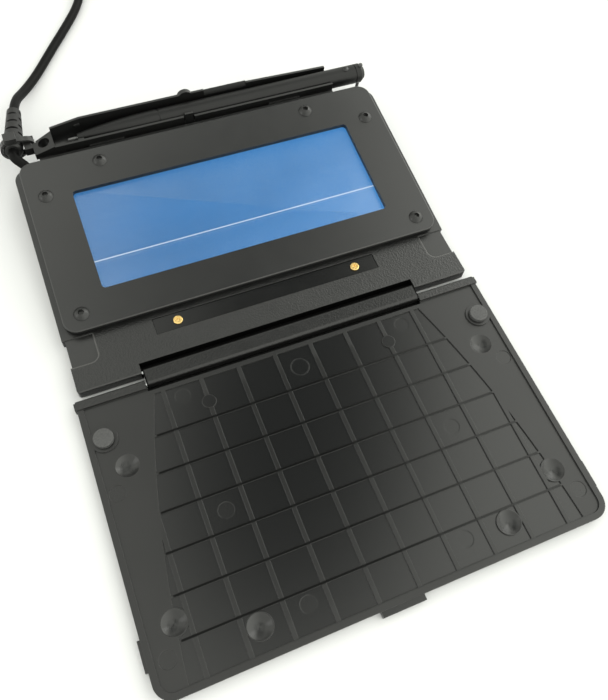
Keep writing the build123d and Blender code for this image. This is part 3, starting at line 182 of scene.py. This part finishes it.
def make_recess_lip():
    """Narrow lip round the bottom of the base's hinge recess, clear of the link's sweep."""
    sunk = 0.1              # how far the lip stands into the base's own walls
    outer, inner = recess_side_x + sunk, link_half_width + 0.15
    far_y = recess_far_y + sunk
    plan = ((-outer, recess_open_y), (-inner, recess_open_y), (-inner, lip_near_y),
            (inner, lip_near_y), (inner, recess_open_y), (outer, recess_open_y),
            (outer, far_y), (-outer, far_y))
    count = len(plan)
    points = [(x * mm, y * mm, z * mm) for z in (lip_low, lip_high) for x, y in plan]
    sides = [(i, (i + 1) % count, (i + 1) % count + count, i + count) for i in range(count)]
    ends = [tuple(range(count))[::-1], tuple(range(count, 2 * count))]
    mesh = bpy.data.meshes.new("recess_lip")
    mesh.from_pydata(points, [], sides + ends)
    mesh.update()
    lip = bpy.data.objects.new("recess_lip", mesh)
    scene.collection.objects.link(lip)
    rounding = lip.modifiers.new("rounding", "BEVEL")
    rounding.width = 0.12 * mm
    rounding.segments = 2
    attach(lip, "base")
    return lip


class Paint:
    """One procedural material, built node by node."""

    def __init__(self, name):
        self.material = bpy.data.materials.new(name)
        self.material.use_nodes = True
        self.tree = self.material.node_tree
        self.shader = self.tree.nodes["Principled BSDF"]
        self.place = self.tree.nodes.new("ShaderNodeTexCoord").outputs["Object"]

    def put(self, kind, inputs=(), **values):
        """A new node with its values set; inputs are (socket, link or value) pairs."""
        node = self.tree.nodes.new(kind)
        for key, value in values.items():
            setattr(node, key, value)
        for socket, value in inputs:
            self.feed(node.inputs[socket], value)
        return node

    def feed(self, socket, value):
        if isinstance(value, bpy.types.NodeSocket):
            self.tree.links.new(value, socket)
        else:
            socket.default_value = value

    def stretched(self, scale):
        """The object's own coordinates, scaled on each axis."""
        return self.put("ShaderNodeMapping", [("Vector", self.place), ("Scale", scale)]).outputs[0]

    def noise(self, size_mm, detail=3.0, roughness=0.55, vector=None):
        node = self.put("ShaderNodeTexNoise", [
            ("Vector", vector or self.place), ("Scale", 1 / (size_mm * mm)), ("Detail", detail),
            ("Roughness", roughness)])
        return node.outputs["Fac"]

    def cells(self, size_mm, feature="SMOOTH_F1", vector=None):
        node = self.put("ShaderNodeTexVoronoi", feature=feature)
        self.feed(node.inputs["Vector"], vector or self.place)
        self.feed(node.inputs["Scale"], 1 / (size_mm * mm))
        return node.outputs["Distance"]

    def ranged(self, value, low, high, to_low=0.0, to_high=1.0):
        return self.put("ShaderNodeMapRange", [
            ("Value", value), ("From Min", low), ("From Max", high), ("To Min", to_low),
            ("To Max", to_high)]).outputs[0]

    def maths(self, operation, a, b=0.0):
        return self.put("ShaderNodeMath", [(0, a), (1, b)], operation=operation).outputs[0]

    def mixed(self, factor, a, b):
        """Colour a where factor is 0 and colour b where it is 1."""
        node = self.put("ShaderNodeMix", data_type="RGBA")
        self.feed(node.inputs["Factor"], factor)
        self.feed(node.inputs["A"], a)
        self.feed(node.inputs["B"], b)
        return node.outputs["Result"]

    def rounded(self, radius_mm):
        """Normal with the edges rounded off, and a mask that is 1 along them."""
        normal = self.put("ShaderNodeBevel", [("Radius", radius_mm * mm)], samples=6).outputs[0]
        flat = self.put("ShaderNodeNewGeometry").outputs["Normal"]
        agree = self.put("ShaderNodeVectorMath", operation="DOT_PRODUCT")
        self.feed(agree.inputs[0], normal)
        self.feed(agree.inputs[1], flat)
        return normal, self.ranged(agree.outputs["Value"], 0.995, 0.90)

    def bump(self, height, depth_mm, normal=None, strength=1.0):
        node = self.put("ShaderNodeBump", [
            ("Strength", strength), ("Distance", depth_mm * mm), ("Height", height)])
        if normal is not None:
            self.feed(node.inputs["Normal"], normal)
        return node.outputs[0]

    def axes(self):
        """The object's own x, y and z, in metres."""
        return self.put("ShaderNodeSeparateXYZ", [(0, self.place)]).outputs

    def nearest(self, spots):
        """Distance in plan to the nearest spot, given in mm and mirrored about x = 0."""
        split = self.axes()
        x = self.maths("ABSOLUTE", split["X"])
        here = self.put("ShaderNodeCombineXYZ", [("X", x), ("Y", split["Y"])]).outputs[0]
        least = None
        for spot in spots:
            gap = self.put("ShaderNodeVectorMath", operation="DISTANCE")
            self.feed(gap.inputs[0], here)
            self.feed(gap.inputs[1], (spot[0] * mm, spot[1] * mm, 0))
            least = gap.outputs["Value"] if least is None else self.maths(
                "MINIMUM", least, gap.outputs["Value"])
        return least

    def both(self, *masks):
        """The product of several masks."""
        product = masks[0]
        for mask in masks[1:]:
            product = self.maths("MULTIPLY", product, mask)
        return product

    def finish(self, color, roughness, normal=None, metallic=0.0):
        self.feed(self.shader.inputs["Base Color"], color)
        self.feed(self.shader.inputs["Roughness"], roughness)
        self.feed(self.shader.inputs["Metallic"], metallic)
        if normal is not None:
            self.feed(self.shader.inputs["Normal"], normal)
        return self.material


def grey(level, warm=0.0):
    return (level * (1 + warm), level, level * (1 - warm), 1)


def leather_grain(p, size_mm):
    """Moulded-in leather grain: bent cells, 1 in the creases."""
    wobble = p.put("ShaderNodeTexNoise", [
        ("Vector", p.place), ("Scale", 1 / (2.2 * size_mm * mm))]).outputs["Color"]
    shift = p.put("ShaderNodeVectorMath", operation="SCALE")
    p.feed(shift.inputs[0], wobble)
    p.feed(shift.inputs["Scale"], size_mm * mm)
    bent = p.put("ShaderNodeVectorMath", operation="ADD")
    p.feed(bent.inputs[0], p.place)
    p.feed(bent.inputs[1], shift.outputs[0])
    return p.ranged(p.cells(size_mm, vector=bent.outputs[0]), 0.1, 0.75)


def moulded(name, level, grain_mm, depth_mm, rough, edge_mm=0.25, spread=0.05, where=None,
            line=None, shine=0.5, painted_shade=None):
    """Moulded plastic: fine sparkle, faint flow marks, leather grain, a painted highlight line and
    painted shade, each where it is asked for.
    """
    p = Paint(name)
    p.shader.inputs["IOR"].default_value = 1.5
    p.shader.inputs["Specular IOR Level"].default_value = shine
    normal, edge = p.rounded(edge_mm)
    color = p.mixed(p.ranged(p.noise(38, 4), 0.3, 0.7), grey(level * 0.8), grey(level * 1.2))
    color = p.mixed(p.maths("MULTIPLY", edge, 0.4), color, grey(level * 1.5, 0.01))
    fine = p.noise(0.32, 2)
    speck = p.noise(7, 5, 0.7)
    roughness = p.ranged(p.maths("ADD", speck, p.maths("MULTIPLY", fine, 0.4)), 0.45, 0.95,
                         rough - spread, rough + spread)
    normal = p.bump(fine, depth_mm * 0.35, normal)
    if grain_mm:
        crease = leather_grain(p, grain_mm)
        grained = where(p) if where else 1.0
        normal = p.bump(crease, depth_mm, normal, grained)
        color = p.mixed(p.maths("MULTIPLY", crease, grained), color, grey(level * 0.5))
        roughness = p.maths("ADD", roughness, p.maths("MULTIPLY", grained, 0.04))
    if line:
        # Painted highlight: a lighter line along the step's edge, as if it caught the light.
        color = p.mixed(line(p), color, grey(0.035, 0.02))
    # Painted shade: darker, rougher and less shiny where the mask says shade falls.
    if painted_shade:
        shade_mask = painted_shade(p)
        color = p.mixed(shade_mask, color, grey(0.0012))
        roughness = p.maths("ADD", roughness, p.maths("MULTIPLY", shade_mask, 0.3))
        p.feed(p.shader.inputs["Specular IOR Level"], p.ranged(shade_mask, 0, 1, shine, 0.1 * shine))
    return p.finish(color, roughness, normal)


def in_recess(p):
    """1 on the walls of the base's hinge recess, which are painted darker and duller as painted
    shade.
    """
    split = p.axes()
    side, far = recess_side_x + 0.2, recess_far_y + 0.2
    across = p.ranged(p.maths("ABSOLUTE", split["X"]), (side + 0.1) * mm, side * mm)
    return p.both(across, p.ranged(split["Y"], (far + 0.1) * mm, far * mm),
                  p.ranged(split["Z"], (recess_shade_z + 0.2) * mm, recess_shade_z * mm))


def link_rim(p):
    """1 on the link's far side and ends, inside the recess, which get painted shade that also dulls
    their highlight.
    """
    split = p.axes()
    end = p.ranged(p.maths("ABSOLUTE", split["X"]), (link_half_width - 0.6) * mm,
                   (link_half_width - 0.3) * mm)
    far = p.ranged(split["Y"], (link_rim_y - 0.4) * mm, link_rim_y * mm)
    return p.maths("MAXIMUM", end, far)


def pad_depth(p):
    """How far a point lies inside the base's rounded corner pads, in metres."""
    split = p.axes()
    corner = pad_corner * mm
    across = p.maths("SUBTRACT", p.maths("ABSOLUTE", split["X"]), pad_side_x * mm)
    along = p.maths("SUBTRACT", split["Y"], pad_near_y * mm)
    across = p.maths("MAXIMUM", p.maths("SUBTRACT", corner, across), 0.0)
    along = p.maths("MAXIMUM", p.maths("SUBTRACT", corner, along), 0.0)
    offset = p.put("ShaderNodeCombineXYZ", [("X", across), ("Y", along)]).outputs[0]
    length = p.put("ShaderNodeVectorMath", [(0, offset)], operation="LENGTH").outputs["Value"]
    return p.maths("SUBTRACT", corner, length)


def in_front(p):
    """1 on the base's block, 0 on the housing behind it."""
    return p.ranged(p.axes()["Y"], block_rear_y * mm, (block_rear_y - 0.3) * mm)


def on_block(p):
    """1 on the grained front block of the base, 0 on its smooth pads and on the housing."""
    return p.both(in_front(p), p.ranged(pad_depth(p), 0.1 * mm, -0.1 * mm))


def pad_line(p):
    """1 along the step between the block and its pads, which gets a lighter line as a painted
    highlight.
    """
    near = p.maths("ABSOLUTE", p.maths("ADD", pad_depth(p), 0.2 * mm))
    return p.both(in_front(p), p.ranged(near, 0.35 * mm, 0.15 * mm))


def make_cover_skin():
    """Cover: matt ribs and marks, painted shade on the side-to-side ribs, smoother pockets,
    polished dimples, grained bars and outside.
    """
    p = Paint("cover_inside")
    p.shader.inputs["IOR"].default_value = 1.5
    normal, edge = p.rounded(0.2)
    split = p.axes()
    x = p.maths("ABSOLUTE", split["X"])
    pocket = p.ranged(split["Z"], pocket_level[0] * mm, pocket_level[1] * mm)
    inside = p.ranged(split["Z"], outside_z * mm, (outside_z + 0.2) * mm)
    from_dimple = p.nearest(dimple_spots)
    dimple = p.both(inside, p.ranged(from_dimple, dimple_edge[0] * mm, dimple_edge[1] * mm))
    turns = p.maths("MULTIPLY", from_dimple, 2 * math.pi / (turning_pitch * mm))
    rings = p.maths("SINE", turns)
    from_mark = p.nearest(mark_spots)
    mark = p.both(inside, p.ranged(from_mark, (mark_radius + 0.1) * mm, mark_radius * mm),
                  p.ranged(from_mark, (mark_radius - 0.2) * mm, (mark_radius - 0.1) * mm,
                           0.35, 1.0))
    bar = p.both(inside, p.ranged(split["Y"], bar_near_y * mm, (bar_near_y + 0.3) * mm))
    down = p.maths("SUBTRACT", split["Y"], first_row_y * mm)
    rows = p.maths("PINGPONG", down, row_pitch * mm / 2)
    far_half = p.ranged(split["Y"], field_middle_y * mm, field_far_y * mm,
                        field_middle_half * mm, field_far_half * mm)
    extra = p.ranged(split["Y"], field_near_y * mm, field_middle_y * mm,
                     field_near_extra * mm, 0.0)
    half = p.maths("ADD", far_half, extra)
    in_field = p.both(p.ranged(x, half, p.maths("SUBTRACT", half, 0.2 * mm)),
                      p.ranged(split["Y"], (rows_far_y + 1) * mm, (rows_far_y - 1) * mm),
                      p.ranged(split["Y"], (rows_near_y - 1) * mm, (rows_near_y + 1) * mm))
    row = p.ranged(rows, (row_half_width + 0.18) * mm, row_half_width * mm)
    cross_rib = p.both(inside, row, in_field, p.maths("SUBTRACT", 1.0, pocket))
    rib = p.both(inside, in_field, p.maths("SUBTRACT", 1.0, pocket))
    from_pad = p.nearest(round_pad_spots)
    round_pad = p.ranged(from_pad, (round_pad_radius + 0.1) * mm, round_pad_radius * mm)
    pocket = p.maths("MAXIMUM", pocket, p.both(inside, round_pad))
    cloud = p.ranged(p.noise(30, 4), 0.3, 0.7)
    color = p.mixed(cloud, grey(0.0035, 0.01), grey(0.0055, 0.02))
    color = p.mixed(pocket, color, grey(0.0040))
    color = p.mixed(p.maths("MULTIPLY", mark, 0.5), color, grey(0.008, 0.02))
    # Painted shade: the side-to-side ribs are darkened like shadow lines, at full strength on the
    # left and half as much at the right.
    cross_rib = p.both(cross_rib, p.ranged(split["X"], 0.0, 45 * mm, 1.0, 0.5))
    color = p.mixed(cross_rib, color, grey(0.002))
    color = p.mixed(p.maths("MULTIPLY", edge, 0.25), color, grey(0.012))
    fine = p.noise(0.3, 2)
    flow = p.noise(9, 5, 0.7, p.stretched((1, 0.35, 1)))
    scuffs = p.ranged(p.noise(0.9, 6, 0.8, p.stretched((1, 0.12, 1))), 0.66, 0.72)
    roughness = p.ranged(flow, 0.3, 0.7, 0.32, 0.38)
    for mask, value in ((rib, 0.28), (pocket, 0.21), (mark, 0.27), (cross_rib, 0.30),
                        (dimple, 0.10)):
        roughness = p.put(
            "ShaderNodeMix", [("Factor", mask), ("A", roughness), ("B", value)]).outputs[0]
    roughness = p.maths("ADD", roughness, p.maths("MULTIPLY", scuffs, 0.05))
    outside = p.maths("SUBTRACT", 1.0, inside)
    roughness = p.maths("ADD", roughness, p.maths("MULTIPLY", outside, 0.3))
    normal = p.bump(fine, 0.008, normal, p.maths("SUBTRACT", 1.0, dimple))
    normal = p.bump(leather_grain(p, 0.6), 0.08, normal, p.maths("MAXIMUM", bar, outside))
    normal = p.bump(rings, 0.006, normal, dimple)
    from_ring = p.nearest(ring_spots)
    ring = p.both(inside, p.ranged(from_ring, (ring_radii[1] + 0.15) * mm, ring_radii[1] * mm),
                  p.ranged(from_ring, (ring_radii[0] - 0.15) * mm, ring_radii[0] * mm))
    color = p.mixed(p.maths("MULTIPLY", ring, 0.3), color, grey(0.012))
    normal = p.bump(ring, 0.02, normal)
    # Less shine on the outside, and painted shade takes most of the shine off the side-to-side
    # ribs.
    p.feed(p.shader.inputs["Specular IOR Level"], p.maths(
        "SUBTRACT", p.ranged(inside, 0, 1, 0.12, 0.43), p.maths("MULTIPLY", cross_rib, 0.34)))
    return p.finish(color, roughness, normal)


def make_button_black():
    """Black-oxide button screws: near the plate's grey, with worn rims."""
    p = Paint("button_black")
    p.shader.inputs["IOR"].default_value = 1.5
    p.shader.inputs["Specular IOR Level"].default_value = 0.36
    normal, edge = p.rounded(0.12)
    tone = p.mixed(p.ranged(p.noise(1.3, 4), 0.4, 0.7), grey(0.003), grey(0.007))
    tone = p.mixed(p.maths("MULTIPLY", edge, 0.5), tone, grey(0.016))
    rub = p.noise(0.25, 3, 0.6)
    return p.finish(tone, p.ranged(rub, 0.3, 0.7, 0.22, 0.34), p.bump(rub, 0.006, normal))


def metal(name, color, rough):
    """Machined metal: tint clouds, fine turning marks and rounded edges."""
    p = Paint(name)
    normal, edge = p.rounded(0.12)
    dull = tuple(c * 0.6 for c in color) + (1,)
    tone = p.mixed(p.ranged(p.noise(3, 4), 0.35, 0.75), tuple(color) + (1,), dull)
    bright = tuple(min(1, c * 1.3) for c in color) + (1,)
    tone = p.mixed(p.maths("MULTIPLY", edge, 0.6), tone, bright)
    marks = p.noise(0.4, 3, 0.6, p.stretched((1, 1, 0.15)))
    roughness = p.ranged(marks, 0.3, 0.7, rough - 0.08, rough + 0.1)
    return p.finish(tone, roughness, p.bump(marks, 0.006, normal), 1.0)


def make_lcd():
    """Blue display, brighter to the right and edge-lit, with its one white signing line."""
    p = Paint("lcd_blue")
    split = p.put("ShaderNodeSeparateXYZ", [(0, p.place)])
    across = p.ranged(split.outputs["X"], -display_half_width * mm, display_half_width * mm)
    glow = p.maths("ADD", across, p.maths("MULTIPLY", p.ranged(p.noise(22, 2), 0.3, 0.7), 0.14))
    blue = p.mixed(glow, (0.032, 0.150, 0.36, 1), (0.048, 0.225, 0.53, 1))
    dots = p.put("ShaderNodeTexBrick", [
        ("Vector", p.place), ("Color1", (1, 1, 1, 1)), ("Color2", (0.98, 0.98, 0.98, 1)),
        ("Mortar", (0.93, 0.94, 0.95, 1)), ("Scale", 1.0), ("Mortar Size", display_dot_gap * mm),
        ("Brick Width", display_dot * mm), ("Row Height", display_dot * mm)], offset=0.0)
    blue_cells = p.put("ShaderNodeMix", data_type="RGBA", blend_type="MULTIPLY")
    p.feed(blue_cells.inputs["Factor"], 1.0)
    p.feed(blue_cells.inputs["A"], blue)
    p.feed(blue_cells.inputs["B"], dots.outputs["Color"])
    off_line = p.maths("ABSOLUTE", p.maths("SUBTRACT", split.outputs["Y"], signing_line_y * mm))
    line = p.ranged(off_line, 0.25 * mm, 0.11 * mm)
    shown = p.mixed(line, blue_cells.outputs["Result"], (0.80, 0.86, 0.92, 1))
    p.feed(p.shader.inputs["Emission Color"], shown)
    p.shader.inputs["Emission Strength"].default_value = 1.05
    return p.finish(p.mixed(0.97, shown, (0.004, 0.008, 0.014, 1)), 0.5)


def make_window_clear():
    """Anti-glare cover glass that lets the display's light through."""
    p = Paint("window_clear")
    p.shader.inputs["IOR"].default_value = 1.46
    p.shader.inputs["Transmission Weight"].default_value = 1.0
    smudge = p.noise(16, 5, 0.65)
    haze = p.noise(0.12, 1)
    tint = p.mixed(smudge, (0.93, 0.97, 1, 1), (0.97, 0.99, 1, 1))
    material = p.finish(tint, p.ranged(smudge, 0.35, 0.7, 0.13, 0.17), p.bump(haze, 0.002))
    rays = p.put("ShaderNodeLightPath")
    clear = p.put("ShaderNodeBsdfTransparent")
    either = p.put("ShaderNodeMixShader", [
        (0, rays.outputs["Is Shadow Ray"]), (1, p.shader.outputs[0]), (2, clear.outputs[0])])
    p.tree.links.new(either.outputs[0], p.tree.nodes["Material Output"].inputs[0])
    return material


def make_string():
    """Braided black string."""
    p = Paint("string_braid")
    p.shader.inputs["Sheen Weight"].default_value = 0.4
    strands = p.cells(0.34, vector=p.stretched((1, 0.6, 1)))
    color = p.mixed(strands, grey(0.045), grey(0.008))
    return p.finish(color, p.ranged(strands, 0, 1, 0.6, 0.85), p.bump(strands, 0.12))


def make_cable_skin():
    """Soft extruded cable jacket with faint draw lines and dust."""
    p = Paint("cable_skin")
    p.shader.inputs["Specular IOR Level"].default_value = 0.06
    dust = p.ranged(p.noise(2.2, 6, 0.7), 0.52, 0.75)
    color = p.mixed(p.maths("MULTIPLY", dust, 0.35), grey(0.003), grey(0.008))
    skin = p.noise(0.6, 3)
    return p.finish(color, p.ranged(dust, 0, 1, 0.42, 0.6), p.bump(skin, 0.015))


def make_tie_plastic():
    """Nylon cable tie: a row of fine teeth across the strap."""
    p = Paint("tie_nylon")
    p.shader.inputs["Specular IOR Level"].default_value = 0.4
    normal, edge = p.rounded(0.15)
    teeth = p.put("ShaderNodeTexWave", [
        ("Vector", p.stretched((1, 0.15, 1))), ("Scale", 320.0), ("Distortion", 0.0)],
        bands_direction="DIAGONAL").outputs["Fac"]
    color = p.mixed(edge, grey(0.010), grey(0.030))
    roughness = p.ranged(p.noise(1.5, 3), 0.3, 0.7, 0.28, 0.42)
    return p.finish(color, roughness, p.bump(teeth, 0.08, normal))


def make_board():
    """Green circuit board: copper tracks under the mask."""
    p = Paint("board_mask")
    track = p.ranged(p.cells(2.4, "DISTANCE_TO_EDGE"), 0.03, 0.06)
    cloud = p.noise(6, 3)
    color = p.mixed(track, (0.09, 0.30, 0.10, 1), (0.015, 0.11, 0.045, 1))
    return p.finish(color, p.ranged(cloud, 0.3, 0.7, 0.22, 0.38), p.bump(track, 0.03))


def dress():
    """Gives every CAD node its material."""
    looks = {
        # The base's hinge recess and the link's far edge get painted shade; the pad step gets a
        # painted highlight line.
        moulded("base_grain", 0.0045, 0.6, 0.060, 0.34, where=on_block, line=pad_line,
                painted_shade=in_recess): ["base_housing"],
        moulded("link_grain", 0.004, 0.6, 0.050, 0.30, 0.15, shine=0.36, painted_shade=link_rim): [
            "hinge_link"],
        make_cover_skin(): ["cover"],
        moulded("plate_satin", 0.005, 0, 0.012, 0.31, 0.12, 0.02): ["top_plate"],
        moulded("frame_black", 0.003, 0, 0.012, 0.38, shine=0.15): ["screen_frame"],
        moulded("strip_black", 0.003, 0, 0.008, 0.22, 0.1, 0.02, shine=0.34): ["inset_strip"],
        moulded("tray_black", 0.003, 0, 0.012, 0.38, 0.15, 0.03, shine=0.4): ["pen_tray"],
        moulded("floor_black", 0.012, 0.7, 0.05, 0.5): ["bottom_cover"],
        moulded("pen_black", 0.003, 0, 0.006, 0.42, 0.12, 0.015, shine=0.24): [
            "pen_nose", "pen_barrel", "pen_tail_cap"],
        moulded("rubber_black", 0.005, 0, 0.02, 0.5, 0.3, shine=0.32): [
            "usb_strain_relief", "usb_plug_grip", "rubber_feet", "window_gasket", "nib_cushion"],
        moulded("rubber_grey", 0.05, 0.5, 0.03, 0.66, 0.3): ["cover_bumpers"],
        moulded("part_black", 0.03, 0.5, 0.02, 0.5): ["board_chips", "flex_cable"],
        moulded("part_white", 0.72, 0, 0.01, 0.4, 0.1): [
            "backlight_panel", "cable_header", "usb_plug_tongue"],
        moulded("ferrite_grey", 0.08, 0.3, 0.02, 0.6): ["pen_ferrite"],
        moulded("nib_grey", 0.09, 0, 0.008, 0.35, 0.1): ["pen_nib"],
        make_button_black(): ["plate_screws", "pen_tail_screw"],
        metal("brass_bright", (0.80, 0.56, 0.22), 0.24): ["strip_screws"],
        metal("steel_plain", (0.56, 0.57, 0.58), 0.30): [
            "bottom_screws", "board_screws", "hinge_pins_base", "hinge_pins_cover", "tray_screws",
            "usb_plug_shell"],
        metal("copper_coil", (0.72, 0.33, 0.14), 0.32): ["pen_winding"],
        make_lcd(): ["lcd_panel"],
        make_window_clear(): ["window_glass"],
        make_board(): ["sensor_board", "controller_board", "pen_board"],
        make_tie_plastic(): ["cable_tie"],
    }
    skin = make_cable_skin()
    string = make_string()
    looks[skin] = ["usb_lead", "usb_cable", "usb_cable_coil"]
    looks[string] = ["tether_lead", "tether_coil", "tether_rise", "tether_knot"]
    for material, names in looks.items():
        for name in names:
            for slot in parts[name].material_slots:
                slot.material = material
    return skin, string


def make_floor():
    """Plain pale desk, a hair under the feet."""
    mesh = bpy.data.meshes.new("desk")
    half = 3.0
    low = -0.0001
    corners = [(-half, -half, low), (half, -half, low), (half, half, low), (-half, half, low)]
    mesh.from_pydata(corners, [], [(0, 1, 2, 3)])
    desk = bpy.data.objects.new("desk", mesh)
    scene.collection.objects.link(desk)
    p = Paint("desk_white")
    tone = p.mixed(p.noise(60, 3), (0.50, 0.50, 0.51, 1), (0.52, 0.52, 0.53, 1))
    mesh.materials.append(p.finish(tone, 0.9))


def make_world():
    """Soft room light, brighter to the right, with something dark overhead; plain white behind."""
    dark, left, right = (0.03, 0.05, 0.06, 1), (1.85, 1.88, 1.74, 1), (3.1, 3.15, 2.92, 1)
    dark_middle = (0.18, 0.33, 0.0)
    dark_axes = (((0.42, 0.91, 0.0), 0.38), ((0.91, -0.42, 0.0), 0.225))
    world = bpy.data.worlds.new("studio")
    scene.world = world
    world.use_nodes = True
    tree = world.node_tree

    def put(kind, inputs=(), **values):
        node = tree.nodes.new(kind)
        for key, value in values.items():
            setattr(node, key, value)
        for socket, value in inputs:
            if isinstance(value, bpy.types.NodeSocket):
                tree.links.new(value, node.inputs[socket])
            else:
                node.inputs[socket].default_value = value
        return node.outputs[0]

    way = put("ShaderNodeTexCoord").node.outputs["Generated"]
    split = put("ShaderNodeSeparateXYZ", [(0, way)]).node.outputs
    off = put("ShaderNodeVectorMath", [(0, way), (1, dark_middle)], operation="SUBTRACT")
    shape = []
    for axis, reach in dark_axes:
        dot = put("ShaderNodeVectorMath", [(0, off), (1, axis)], operation="DOT_PRODUCT").node
        shape.append(put("ShaderNodeMath", [(0, dot.outputs["Value"]), (1, reach)],
                         operation="DIVIDE"))
    away = put("ShaderNodeCombineXYZ", [("X", shape[0]), ("Y", shape[1])])
    away = put("ShaderNodeVectorMath", [(0, away)], operation="LENGTH").node.outputs["Value"]
    shade = put("ShaderNodeMapRange", [("Value", away), ("From Min", 0.55), ("From Max", 1.15)],
                interpolation_type="SMOOTHSTEP")
    side = put("ShaderNodeMapRange", [("Value", split["X"]), ("From Min", -0.3), ("From Max", 0.5)])
    room = put("ShaderNodeMix", [("Factor", side)], data_type="RGBA").node
    room.inputs["A"].default_value = left
    room.inputs["B"].default_value = right
    sky = put("ShaderNodeMix", [("Factor", shade)], data_type="RGBA").node
    sky.inputs["A"].default_value = dark
    back = put("ShaderNodeMapRange", [
        ("Value", split["Y"]), ("From Min", 0.6), ("From Max", 0.85), ("To Min", 1.0),
        ("To Max", 0.42)], interpolation_type="SMOOTHSTEP")
    room = put("ShaderNodeVectorMath", [(0, room.outputs["Result"]), ("Scale", back)],
               operation="SCALE")
    tree.links.new(room, sky.inputs["B"])
    light = tree.nodes["Background"]
    tree.links.new(sky.outputs["Result"], light.inputs["Color"])
    white = put("ShaderNodeBackground", [("Color", (1, 1, 1, 1))])
    seen = put("ShaderNodeLightPath").node.outputs["Is Camera Ray"]
    either = put("ShaderNodeMixShader", [(0, seen), (1, light.outputs[0]), (2, white)])
    tree.links.new(either, tree.nodes["World Output"].inputs[0])


def make_light(name, place, aim, size, power):
    data = bpy.data.lights.new(name, "AREA")
    data.shape = "DISK"
    data.size = size
    data.energy = power
    light = bpy.data.objects.new(name, data)
    scene.collection.objects.link(light)
    way = Vector(aim) - Vector(place)
    turn = way.to_track_quat("-Z", "Y").to_matrix().to_4x4()
    light.matrix_world = Matrix.Translation(place) @ turn


make_camera()
cable, tether = make_cords()
skin, string = dress()
lip = make_recess_lip()
lip.data.materials.append(parts["base_housing"].material_slots[0].material)
cable.data.materials.append(skin)
tether.data.materials.append(string)
make_floor()
make_world()
make_light("key", (0.95, 0.35, 0.6), pad_middle, 0.5, 1.5)
make_light("fill", (-1.0, 0.0, 0.5), pad_middle, 0.5, 1.0)
scene.view_settings.view_transform = "Standard"
bpy.context.view_layer.update()
